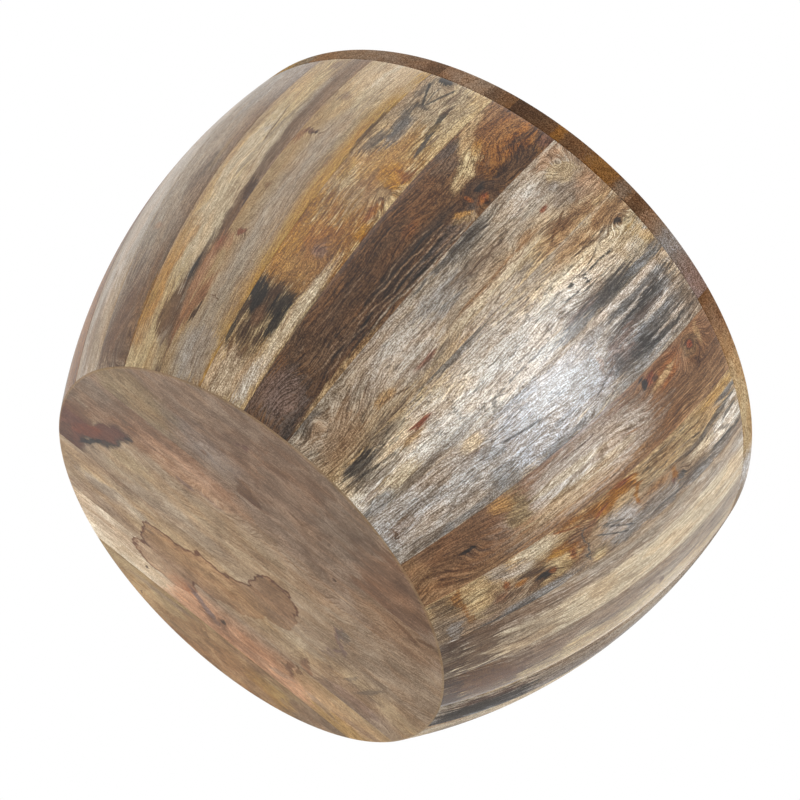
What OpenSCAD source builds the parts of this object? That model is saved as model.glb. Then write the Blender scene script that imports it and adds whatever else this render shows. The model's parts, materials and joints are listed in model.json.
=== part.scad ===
// Round drum coffee table, in millimetres.
// A wall of tapered, bellied staves stands on a planked base and carries a planked top.
// The origin is the centre of the underside and +Z points up. The base planks run along X
// and the top planks along Y.

/* [Outline] */
// Widest diameter of the drum
table_d = 787; // [720:1:860]
// Height from the underside of the base to the top face
table_h = 457; // [440:1:500]
// Diameter of the drum at its underside
base_d = 548; // [500:1:600]
// Height of the widest ring above the underside
belly_z = 393; // [380:1:410]

/* [Wall] */
// Number of staves
stave_n = 30; // [24:1:31]
// Thickness of a stave
stave_t = 22; // [18:0.5:26]
// Turn of the first stave joint from +X, in degrees
stave_phase = 7.7; // [0:0.1:12]

/* [Top] */
// Thickness of the top panel
top_t = 26; // [22:0.5:32]
// Radius of the round-over on the upper edge
top_round = 5; // [2:0.5:8]
// Places of the joints between the top planks along X
top_joints = [-300, -218, -141, -50, 41, 113, 231]; // [-300:1:300]

/* [Base] */
// Thickness of the base panel
base_t = 20; // [16:0.5:26]
// Places of the joints between the base planks along Y
base_joints = [-125, 31, 121, 190]; // [-200:1:200]

/* [Edges] */
// Chamfer on each side of the joint between wall and top
joint_chamfer = 0.7; // [0.3:0.1:1.5]
// Chamfer around the underside of the base
foot_chamfer = 1.2; // [0.5:0.1:2.5]

/* [Inside] */
// Segments in each glue ring
ring_n = 6; // [4:1:6]
// Width of a glue ring
ring_w = 45; // [36:1:56]
// Height of the ring under the top
top_ring_h = 22; // [18:1:28]
// Height of the ring on the base
base_ring_h = 22; // [18:1:28]
// Turn of the first ring joint from +X, in degrees
ring_phase = -5; // [-10:1:0]
// Width of a batten under the top
batten_w = 60; // [50:1:80]
// Height of a batten under the top
batten_h = 22; // [18:1:28]
// Distance of each batten from the centre along Y
batten_y = 150; // [110:1:190]

/* [Screws] */
// Diameter of a screw's shank
screw_d = 4.5; // [3.5:0.5:5]
// Diameter of a screw's countersunk head
screw_head_d = 9; // [8:0.5:10]
// Length of the screws that hold the top
top_screw_l = 38; // [32:1:42]
// Length of the screws that hold the base
base_screw_l = 34; // [30:1:38]
// Screws in each ring segment
ring_screws = 3; // [2:1:4]

/* [Hidden] */
$fn = 180;
stave_a = 360 / stave_n;
ring_a = 360 / ring_n;
screw_a = ring_a / ring_screws;
screw_point_d = 1;
// How far a screw hole reaches past the face that its head is flush with
hole_sink = 2;

// The wall's outer curve is one arc through the foot edge and the widest ring.
belly_sag = (table_d - base_d) / 2;
belly_r = (belly_z * belly_z + belly_sag * belly_sag) / (2 * belly_sag);
belly_x = table_d / 2 - belly_r;
wall_top = table_h - top_t;
far = table_d;

// Radius of the wall at height z, where depth is measured inwards from its outer face
function wall_r(z, depth) = belly_x + sqrt(pow(belly_r - depth, 2) - pow(z - belly_z, 2));

// The mitre between staves and base runs from the foot edge to the inner corner.
mitre_out = [wall_r(foot_chamfer, 0), foot_chamfer];
mitre_in = [wall_r(base_t, stave_t), base_t];

top_ring_r = wall_r(wall_top, stave_t) - ring_w;
base_ring_r = wall_r(base_t, stave_t) - ring_w;
top_screw_r = top_ring_r + ring_w / 2;
base_screw_r = base_ring_r + ring_w / 2;
batten_half = sqrt(pow(top_ring_r, 2) - pow(batten_y + batten_w / 2, 2));

top_edges = concat([-far], top_joints, [far]);
base_edges = concat([-far], base_joints, [far]);
top_n = len(top_edges) - 1;
base_n = len(base_edges) - 1;

// Middles of the top planks that a batten crosses
batten_screw_x = [
    for (i = [0 : top_n - 1])
        let (x = (top_edges[i] + top_edges[i + 1]) / 2)
            if (abs(x) < batten_half - batten_w / 2) x
];

// Wood tones
cream = "#d8c6a2";
beige = "#c3ae8d";
honey = "#c09a5c";
tan_wood = "#a98963";
greige = "#b3a493";
taupe = "#8f7d6b";
umber = "#6b5541";
walnut = "#87664a";
slate = "#7f7f7d";
steel = "#a9adb2";
stave_tones = [
    beige, taupe, cream, walnut, greige, honey, beige, umber, cream, tan_wood,
    slate, beige, walnut, cream, taupe, honey, greige, taupe, honey, cream,
    honey, umber, greige, beige, slate, walnut, tan_wood, cream, tan_wood, slate
];
top_tones = [tan_wood, walnut, beige, umber, taupe, honey, walnut, tan_wood];
base_tones = [taupe, taupe, greige, beige, tan_wood];

function two_digits(i) = str(i < 10 ? "0" : "", i);
stave_names = [for (i = [1 : stave_n]) str("stave_", two_digits(i))];
top_names = [for (i = [1 : top_n]) str("top_plank_", i)];
base_names = [for (i = [1 : base_n]) str("base_plank_", i)];
top_ring_names = [for (i = [1 : ring_n]) str("top_ring_segment_", i)];
base_ring_names = [for (i = [1 : ring_n]) str("base_ring_segment_", i)];
batten_names = ["batten_front", "batten_back"];

// Section inside the wall's outer arc, set inwards by depth
module belly(depth) {
    translate([belly_x, belly_z]) circle(r = belly_r - depth);
}

// Half section of a stave: a bent strip, mitred at its foot and eased at its upper corner
module stave_section() {
    slope = mitre_in - mitre_out;
    low = mitre_out - slope;
    high = mitre_in + slope;
    corner = wall_r(wall_top, 0);
    difference() {
        intersection() {
            belly(0);
            polygon([low, high, [high[0], wall_top], [far, wall_top], [far, low[1]]]);
        }
        belly(stave_t);
        polygon([
            [corner - joint_chamfer, wall_top],
            [corner + joint_chamfer, wall_top],
            [corner + joint_chamfer, wall_top - 2 * joint_chamfer]
        ]);
    }
}

// Half section of the top panel, whose edge follows the wall's arc
module top_section() {
    corner = wall_r(wall_top, 0);
    round_z = table_h - top_round;
    round_x = wall_r(round_z, top_round);
    lean = [round_x - belly_x, round_z - belly_z] / (belly_r - top_round);
    reach = 3 * top_round;
    difference() {
        intersection() {
            belly(0);
            translate([0, wall_top]) square([far, top_t]);
        }
        difference() {
            translate([round_x, round_z])
                polygon([[0, 0], [0, reach], [reach, reach], reach * lean]);
            translate([round_x, round_z]) circle(r = top_round);
        }
        polygon([
            [corner - joint_chamfer, wall_top],
            [corner + joint_chamfer, wall_top],
            [corner + joint_chamfer, wall_top + 2 * joint_chamfer]
        ]);
    }
}

// Half section of the base panel, with its mitred edge
module base_section() {
    polygon([
        [0, 0],
        [base_d / 2 - foot_chamfer, 0],
        mitre_out,
        mitre_in,
        [0, base_t]
    ]);
}

// Half section of a glue ring that fills the corner inside the wall
module ring_section(inner_r, low_z, height) {
    intersection() {
        belly(stave_t);
        translate([inner_r, low_z]) square([far, height]);
    }
}

// Outline of a countersunk screw, its head at the origin and its point up. With a sink above
// zero it is the outline of the screw's hole, whose 45 degree cone runs on below the head.
function screw_outline(length, sink) = [
    [0, -sink],
    [screw_head_d / 2 + sink, -sink],
    [screw_d / 2, (screw_head_d - screw_d) / 2],
    [screw_d / 2, length - screw_d],
    [screw_point_d / 2, length],
    [0, length]
];

module screw(length, sink) {
    rotate_extrude() polygon(screw_outline(length, sink));
}

// The screws of a ring, spread along its segments
module ring_screw_set(radius, length, sink) {
    for (i = [0 : ring_n * ring_screws - 1])
        rotate([0, 0, ring_phase + screw_a * (i + 0.5)])
            translate([radius, 0, 0]) screw(length, sink);
}

module top_screws(sink = 0) {
    color(steel) {
        translate([0, 0, wall_top - top_ring_h]) ring_screw_set(top_screw_r, top_screw_l, sink);
        for (x = batten_screw_x, side = [-1, 1])
            translate([x, side * batten_y, wall_top - batten_h]) screw(top_screw_l, sink);
    }
}

module base_screws(sink = 0) {
    color(steel) translate([0, 0, base_t + base_ring_h]) mirror([0, 0, 1])
        ring_screw_set(base_screw_r, base_screw_l, sink);
}

module stave(i) {
    color(stave_tones[i % len(stave_tones)])
        rotate([0, 0, stave_phase + stave_a * i])
            rotate_extrude(angle = stave_a) stave_section();
}

module top_plank(i) {
    color(top_tones[i % len(top_tones)]) difference() {
        intersection() {
            rotate_extrude() top_section();
            translate([top_edges[i], -far, 0])
                cube([top_edges[i + 1] - top_edges[i], 2 * far, 2 * table_h]);
        }
        top_screws(hole_sink);
    }
}

module base_plank(i) {
    color(base_tones[i % len(base_tones)]) difference() {
        intersection() {
            rotate_extrude() base_section();
            translate([-far, base_edges[i], -base_t])
                cube([2 * far, base_edges[i + 1] - base_edges[i], 3 * base_t]);
        }
        base_screws(hole_sink);
    }
}

module top_ring_segment(i) {
    color(tan_wood) difference() {
        rotate([0, 0, ring_phase + ring_a * i])
            rotate_extrude(angle = ring_a)
                ring_section(top_ring_r, wall_top - top_ring_h, top_ring_h);
        top_screws(hole_sink);
    }
}

module base_ring_segment(i) {
    color(tan_wood) difference() {
        rotate([0, 0, ring_phase + ring_a * i])
            rotate_extrude(angle = ring_a)
                ring_section(base_ring_r, base_t, base_ring_h);
        base_screws(hole_sink);
    }
}

// A batten across the top planks, its ends cut to the curve of the ring
module batten(side) {
    color(beige) difference() {
        intersection() {
            translate([-far, side * batten_y - batten_w / 2, wall_top - batten_h])
                cube([2 * far, batten_w, batten_h]);
            cylinder(r = top_ring_r, h = wall_top);
        }
        top_screws(hole_sink);
    }
}

for (i = [0 : stave_n - 1]) stave(i);
for (i = [0 : top_n - 1]) top_plank(i);
for (i = [0 : base_n - 1]) base_plank(i);
for (i = [0 : ring_n - 1]) top_ring_segment(i);
for (i = [0 : ring_n - 1]) base_ring_segment(i);
batten(-1);  // batten_front
batten(1);  // batten_back
top_screws();
base_screws();
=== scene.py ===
"""Studio scene of a round drum coffee table made of mixed boards of figured, spalted wood.

A wall of 30 bent and tapered staves stands on a planked base and carries a planked top. Each
board has a wood of its own: a ground of tones across it, growth lines that bend round knots
and hearts, and blots of colour laid where they are on the real board. A few blots are painted
light instead: painted shade at the foot of some staves, and a painted sheen where the glare
lamp's highlight lies on the wall. Lengths in the wood tables are in millimetres, and
everything that Blender is given is in metres.
"""

import json
import logging
import math
import random
from dataclasses import dataclass, replace
from enum import Enum
from typing import Any, Mapping, Protocol, Sequence

import bmesh
import bpy
from mathutils import Matrix, Vector

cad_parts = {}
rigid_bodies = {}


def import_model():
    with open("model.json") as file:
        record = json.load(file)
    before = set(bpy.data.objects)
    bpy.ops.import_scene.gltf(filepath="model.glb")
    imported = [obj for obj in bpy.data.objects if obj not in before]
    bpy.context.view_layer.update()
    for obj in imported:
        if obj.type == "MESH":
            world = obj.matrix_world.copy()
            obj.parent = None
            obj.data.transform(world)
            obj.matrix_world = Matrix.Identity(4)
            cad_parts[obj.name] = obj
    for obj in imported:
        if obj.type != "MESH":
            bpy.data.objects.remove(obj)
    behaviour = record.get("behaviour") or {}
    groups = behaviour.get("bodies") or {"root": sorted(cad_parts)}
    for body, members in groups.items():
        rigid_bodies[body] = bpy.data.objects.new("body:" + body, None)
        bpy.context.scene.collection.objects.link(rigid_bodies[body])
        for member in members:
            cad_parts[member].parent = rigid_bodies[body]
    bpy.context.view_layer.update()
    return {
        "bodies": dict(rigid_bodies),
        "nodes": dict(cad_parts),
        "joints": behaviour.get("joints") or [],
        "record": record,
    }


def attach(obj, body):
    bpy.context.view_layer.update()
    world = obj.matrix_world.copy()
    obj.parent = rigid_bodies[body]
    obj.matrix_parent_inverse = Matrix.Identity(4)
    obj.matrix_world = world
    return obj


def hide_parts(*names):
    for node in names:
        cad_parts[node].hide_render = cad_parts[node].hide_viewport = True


MM = 0.001
WHITE = (1.0, 1.0, 1.0, 1.0)
BODY = "root"
LOG = logging.getLogger("drum_table")


class Tone(Enum):
    """Wood colours, each an sRGB hex value, and one painted sheen."""

    CHALK = "d3c0a4"
    CREAM = "c3aa81"
    LINEN = "c3b6aa"
    ASH = "b7b0ac"
    SAND = "b0936c"
    STRAW = "a88244"
    HONEY = "b6894c"
    AMBER = "935f22"
    RUST = "865026"
    EMBER = "7d4229"
    PEACH = "b38664"
    GREIGE = "a3927f"
    DUN = "876e58"
    FAWN = "916d4a"
    OLIVE = "8f7853"
    TAUPE = "72604f"
    CHESTNUT = "7d5b41"
    COFFEE = "66462b"
    UMBER = "4b3423"
    PLUM = "613f32"
    MAUVE = "7c6357"
    SLATE = "55504d"
    LEAD = "747272"
    INK = "221d1a"
    BARK = "6a5340"
    GARNET = "5c392b"
    GOLD = "b07e30"
    BONE = "dacfc3"
    # A pale bluish painted sheen that stands in for the glare on the wall.
    PAINTED_SHEEN = "c0bfc4"
    PEWTER = "938e8b"
    DRIFT = "957d64"
    DAMP = "e4d3c6"
    TIDE = "ac9282"

    @property
    def rgba(self) -> tuple[float, float, float, float]:
        """Linear colour with full alpha."""
        parts = [int(self.value[i : i + 2], 16) / 255 for i in (0, 2, 4)]
        linear = [c / 12.92 if c <= 0.04045 else ((c + 0.055) / 1.055) ** 2.4 for c in parts]
        return (linear[0], linear[1], linear[2], 1.0)


class Signal:
    """A node's output that varies over a surface, with arithmetic that adds Math nodes."""

    def __init__(self, sheet: "NodeSheet", socket: bpy.types.NodeSocket) -> None:
        """Wrap a socket of a sheet."""
        self.sheet = sheet
        self.socket = socket

    def __add__(self, other: "Signal | float") -> "Signal":
        """Sum."""
        return self.sheet.math("ADD", self, other)

    def __radd__(self, other: float) -> "Signal":
        """Sum with a number on the left."""
        return self.sheet.math("ADD", other, self)

    def __sub__(self, other: "Signal | float") -> "Signal":
        """Difference."""
        return self.sheet.math("SUBTRACT", self, other)

    def __rsub__(self, other: float) -> "Signal":
        """Difference from a number on the left."""
        return self.sheet.math("SUBTRACT", other, self)

    def __mul__(self, other: "Signal | float") -> "Signal":
        """Product."""
        return self.sheet.math("MULTIPLY", self, other)

    def __rmul__(self, other: float) -> "Signal":
        """Product with a number on the left."""
        return self.sheet.math("MULTIPLY", other, self)


Value = Signal | float | Sequence[float]


class NodeSheet:
    """One node tree that is filled by Python expressions."""

    def __init__(self, tree: bpy.types.NodeTree) -> None:
        """Empty the tree and keep it."""
        self.tree = tree
        tree.nodes.clear()

    def node(
        self,
        kind: str,
        settings: Mapping[str, object] | None = None,
        inputs: Mapping[int | str, Value] | None = None,
        output: int | str = 0,
    ) -> Signal:
        """Add a node.

        Args:
            kind: Type of the node.
            settings: Its own properties, or the stops of a ramp, set before the sockets.
            inputs: Numbers, vectors or signals by socket name or place.
            output: The socket that the signal is read from.

        Returns:
            The signal at that output, or at an input where the node has no outputs.
        """
        made = self.tree.nodes.new(kind)
        for name, setting in (settings or {}).items():
            if name == "stops":
                self._set_stops(made, setting)
            else:
                setattr(made, name, setting)
        for key, value in (inputs or {}).items():
            socket = made.inputs[key]
            if isinstance(value, Signal):
                self.tree.links.new(value.socket, socket)
            else:
                socket.default_value = value
        sockets = made.outputs if len(made.outputs) else made.inputs
        return Signal(self, sockets[output])

    @staticmethod
    def _set_stops(made: bpy.types.Node, stops: Sequence[tuple[float, Sequence[float]]]) -> None:
        """Place the stops of a colour ramp.

        Args:
            made: The ramp's node.
            stops: Places from 0 to 1 with their colours, in rising order.
        """
        elements = made.color_ramp.elements
        while len(elements) < len(stops):
            elements.new(1.0)
        for element, (place, colour) in zip(elements, stops):
            element.position = place
            element.color = colour

    def math(self, operation: str, *values: Signal | float) -> Signal:
        """Add a Math node on up to three values."""
        return self.node("ShaderNodeMath", {"operation": operation}, dict(enumerate(values)))

    def vector_math(self, operation: str, *values: Value, output: int = 0) -> Signal:
        """Add a Vector Math node on its vector sockets."""
        return self.node("ShaderNodeVectorMath", {"operation": operation}, dict(enumerate(values)), output)

    def combine(self, x: Signal | float, y: Signal | float, z: Signal | float) -> Signal:
        """Make a vector of three values."""
        return self.node("ShaderNodeCombineXYZ", None, {0: x, 1: y, 2: z})

    def step(self, value: Signal, low: float, high: float, start: float = 0.0, end: float = 1.0) -> Signal:
        """Change a value smoothly.

        Args:
            value: What is mapped.
            low: Value that gives start.
            high: Value that gives end; it may be below low.
            start: Result at low and beyond.
            end: Result at high and beyond.

        Returns:
            The smooth step.
        """
        if high < low:
            low, high, start, end = high, low, end, start
        inputs = {0: value, 1: low, 2: high, 3: start, 4: end}
        return self.node("ShaderNodeMapRange", {"interpolation_type": "SMOOTHSTEP"}, inputs)

    def blend(self, under: Value, over: Value, factor: Signal | float, mode: str = "MIX") -> Signal:
        """Mix two colours.

        Args:
            under: Colour at factor 0.
            over: Colour that comes in with the factor.
            factor: How much of it.
            mode: Blend type of the Mix node.

        Returns:
            The mixed colour.
        """
        settings = {"data_type": "RGBA", "blend_type": mode, "clamp_factor": True}
        return self.node("ShaderNodeMix", settings, {0: factor, 6: under, 7: over}, 2)

    def ease(self, under: Signal | float, over: Signal | float, factor: Signal | float) -> Signal:
        """Mix two numbers."""
        return self.node("ShaderNodeMix", {"data_type": "FLOAT"}, {0: factor, 2: under, 3: over})

    def length(self, vector: Value) -> Signal:
        """Measure a vector."""
        return self.node("ShaderNodeVectorMath", {"operation": "LENGTH"}, {0: vector}, "Value")

    def noise(
        self,
        place: Signal,
        detail: float,
        roughness: float = 0.5,
        distortion: float = 0.0,
        output: int | str = 0,
    ) -> Signal:
        """Sample smooth noise.

        Args:
            place: Where it is read, in units of its features.
            detail: Octaves.
            roughness: Share of the finer octaves.
            distortion: How far it is curled up.
            output: The first for one value, or Color for three.

        Returns:
            The noise, around one half.
        """
        inputs = {
            "Vector": place,
            "Scale": 1.0,
            "Detail": detail,
            "Roughness": roughness,
            "Distortion": distortion,
        }
        return self.node("ShaderNodeTexNoise", {"noise_dimensions": "3D"}, inputs, output)


@dataclass(frozen=True)
class Layer:
    """One layer of noise in a board, its features' sizes in millimetres across and along the grain."""

    width: float
    length: float
    detail: float
    roughness: float = 0.5
    distortion: float = 0.0


@dataclass(frozen=True)
class Blot:
    """A patch of another tone that lies in a board and frays along its grain; a few blots are painted
    shade and painted sheen instead of wood.
    """

    across: float
    along: float
    half_across: float
    half_along: float
    tone: Tone
    amount: float = 0.8
    tilt: float = 0.0
    fray: float = 1.0
    rim: float = 0.0
    soft: float = 0.3


@dataclass(frozen=True)
class Vein:
    """A thin line that wanders along the grain, such as a zone line or a mineral streak."""

    across: float
    start: float
    end: float
    half_width: float = 1.0
    slope: float = 0.0
    sway: float = 5.0
    tone: Tone = Tone.INK
    amount: float = 0.75


@dataclass(frozen=True)
class Eye:
    """A knot or a heart figure that growth lines run round."""

    across: float
    along: float
    half_across: float
    half_along: float
    spread: float = 1.0
    tilt: float = 0.0


@dataclass(frozen=True)
class Heart:
    """Where the tree's pith runs past a board, which sets the sweep of its growth lines."""

    across: float = -160.0
    depth: float = 10.0
    slope: float = 0.0
    lean: float = 0.0


@dataclass(frozen=True)
class Board:
    """The wood of one board: its marks, and how strong each part of its figure is."""

    seed: int
    ground: tuple[tuple[float, Tone], ...]
    blots: tuple[Blot, ...] = ()
    eyes: tuple[Eye, ...] = ()
    veins: tuple[Vein, ...] = ()
    heart: Heart = Heart()
    drift: float = 9.0
    lines: float = 0.5
    mottle: float = 0.35
    pores: float = 0.5
    spalt: float = 0.0
    ragged: float = 26.0
    tint: float = 0.6
    shade: float = 0.0
    fraying: float = 1.0
    cloud_run: float = 80.0


@dataclass(frozen=True)
class BaseBoard(Board):
    """The wood of a base plank, whose worn face has round clouds and stains that hardly fray."""

    pores: float = 0.22
    fraying: float = 0.45
    cloud_run: float = 42.0


@dataclass(frozen=True)
class WoodFinish:
    """How a wooden surface is worked and coated."""

    roughness: float
    roughness_span: float
    coat: float
    coat_roughness: float
    relief: float
    specular: float = 0.5
    cast: tuple[float, float, float] = (1.0, 1.0, 1.0)


LACQUERED = WoodFinish(
    roughness=0.42,
    roughness_span=0.16,
    coat=0.2,
    coat_roughness=0.25,
    relief=0.6,
    specular=0.22,
    cast=(0.83, 0.788, 0.722),
)
RUBBED_STAVE = WoodFinish(
    roughness=0.65,
    roughness_span=0.14,
    coat=0.0,
    coat_roughness=0.4,
    relief=0.6,
    specular=0.08,
    cast=(0.94, 0.91, 0.87),
)
RUBBED_EDGE = WoodFinish(
    roughness=0.7,
    roughness_span=0.12,
    coat=0.0,
    coat_roughness=0.4,
    relief=0.5,
    specular=0.06,
    cast=(0.84, 0.85, 0.86),
)
WORN_MATTE = WoodFinish(
    roughness=0.66,
    roughness_span=0.16,
    coat=0.0,
    coat_roughness=0.4,
    relief=0.35,
    specular=0.28,
)
SAWN = WoodFinish(
    roughness=0.72,
    roughness_span=0.12,
    coat=0.0,
    coat_roughness=0.5,
    relief=0.7,
    specular=0.35,
)


@dataclass(frozen=True)
class TableForm:
    """Named sizes of the table, in metres and degrees, the same as in its CAD source."""

    table_d: float = 0.787
    table_h: float = 0.457
    base_d: float = 0.548
    belly_z: float = 0.393
    stave_n: int = 30
    stave_t: float = 0.022
    stave_phase: float = 7.7
    top_t: float = 0.026
    top_round: float = 0.005
    top_joints: tuple[float, ...] = (-0.300, -0.218, -0.141, -0.050, 0.041, 0.113, 0.231)
    base_t: float = 0.020
    base_joints: tuple[float, ...] = (-0.125, 0.031, 0.121, 0.190)
    joint_chamfer: float = 0.0007
    foot_chamfer: float = 0.0012
    seam_ease: float = 0.00022

    @property
    def belly_r(self) -> float:
        """Radius of the arc that the wall follows."""
        sag = (self.table_d - self.base_d) / 2
        return (self.belly_z**2 + sag**2) / (2 * sag)

    @property
    def belly_x(self) -> float:
        """Distance of that arc's centre from the table's axis."""
        return self.table_d / 2 - self.belly_r

    @property
    def wall_top(self) -> float:
        """Height of the joint between wall and top."""
        return self.table_h - self.top_t

    @property
    def stave_a(self) -> float:
        """Angle that one stave takes up, in degrees."""
        return 360.0 / self.stave_n

    def wall_r(self, height: float, depth: float = 0.0) -> float:
        """Radius of the wall at a height, at a depth inside its outer face."""
        return self.belly_x + math.sqrt((self.belly_r - depth) ** 2 - (height - self.belly_z) ** 2)

    @property
    def mitre_out(self) -> tuple[float, float]:
        """Outer end of the mitre between staves and base."""
        return (self.wall_r(self.foot_chamfer), self.foot_chamfer)

    @property
    def mitre_in(self) -> tuple[float, float]:
        """Inner end of that mitre."""
        return (self.wall_r(self.base_t, self.stave_t), self.base_t)


@dataclass(frozen=True)
class GrainAxes:
    """A board's own directions as signals in millimetres."""

    across: Signal
    along: Signal
    depth: Signal | float


class Lay(Protocol):
    """How a board lies in the table."""

    def axes(self, sheet: NodeSheet) -> GrainAxes:
        """Give the board's directions from object coordinates."""
        ...


def object_place(sheet: NodeSheet, turn: float = 0.0) -> Signal:
    """Read object coordinates.

    Args:
        sheet: The node tree.
        turn: Angle about Z that is taken off, in degrees.

    Returns:
        The place in millimetres.
    """
    place = sheet.node("ShaderNodeTexCoord", output="Object")
    inputs = {"Vector": place, "Rotation": (0.0, 0.0, math.radians(-turn)), "Scale": (1 / MM,) * 3}
    return sheet.node("ShaderNodeMapping", {"vector_type": "POINT"}, inputs)


@dataclass(frozen=True)
class StaveLay:
    """A stave: along follows the wall's arc up from the widest ring, across goes round."""

    turn: float
    form: TableForm

    def axes(self, sheet: NodeSheet) -> GrainAxes:
        """Give the stave's directions from object coordinates."""
        place = object_place(sheet, self.turn)
        radius = sheet.length(sheet.vector_math("MULTIPLY", place, (1.0, 1.0, 0.0)))
        across = sheet.node("ShaderNodeSeparateXYZ", None, {0: place}, "Y")
        height = sheet.node("ShaderNodeSeparateXYZ", None, {0: place}, "Z")
        rise = sheet.math("ARCTAN2", height - self.form.belly_z / MM, radius - self.form.belly_x / MM)
        return GrainAxes(across, rise * (self.form.belly_r / MM), 0.0)


@dataclass(frozen=True)
class PlankLay:
    """A plank that lies flat, with its grain along X or along Y."""

    grain_x: bool

    def axes(self, sheet: NodeSheet) -> GrainAxes:
        """Give the plank's directions from object coordinates."""
        place = object_place(sheet)
        names = ("Y", "X", "Z") if self.grain_x else ("X", "Y", "Z")
        parts = [sheet.node("ShaderNodeSeparateXYZ", None, {0: place}, name) for name in names]
        return GrainAxes(*parts)


@dataclass(frozen=True)
class Spill:
    """A dried water mark: a few joined ovals with a dark outline, in the table's own X and Y."""

    ovals: tuple[tuple[float, float, float, float, float], ...]
    tone: Tone
    amount: float
    rim_tone: Tone
    rim_amount: float
    fade_slope: float
    fade_start: float
    fade_end: float


@dataclass(frozen=True)
class Figure:
    """The grain of one board: noise around zero, a hue around one half and a mask of open pores."""

    sway: Signal
    rings: Signal
    streak: Signal
    fibre: Signal
    fleck: Signal
    cloud: Signal
    hue: Signal
    open_pore: Signal


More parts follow.
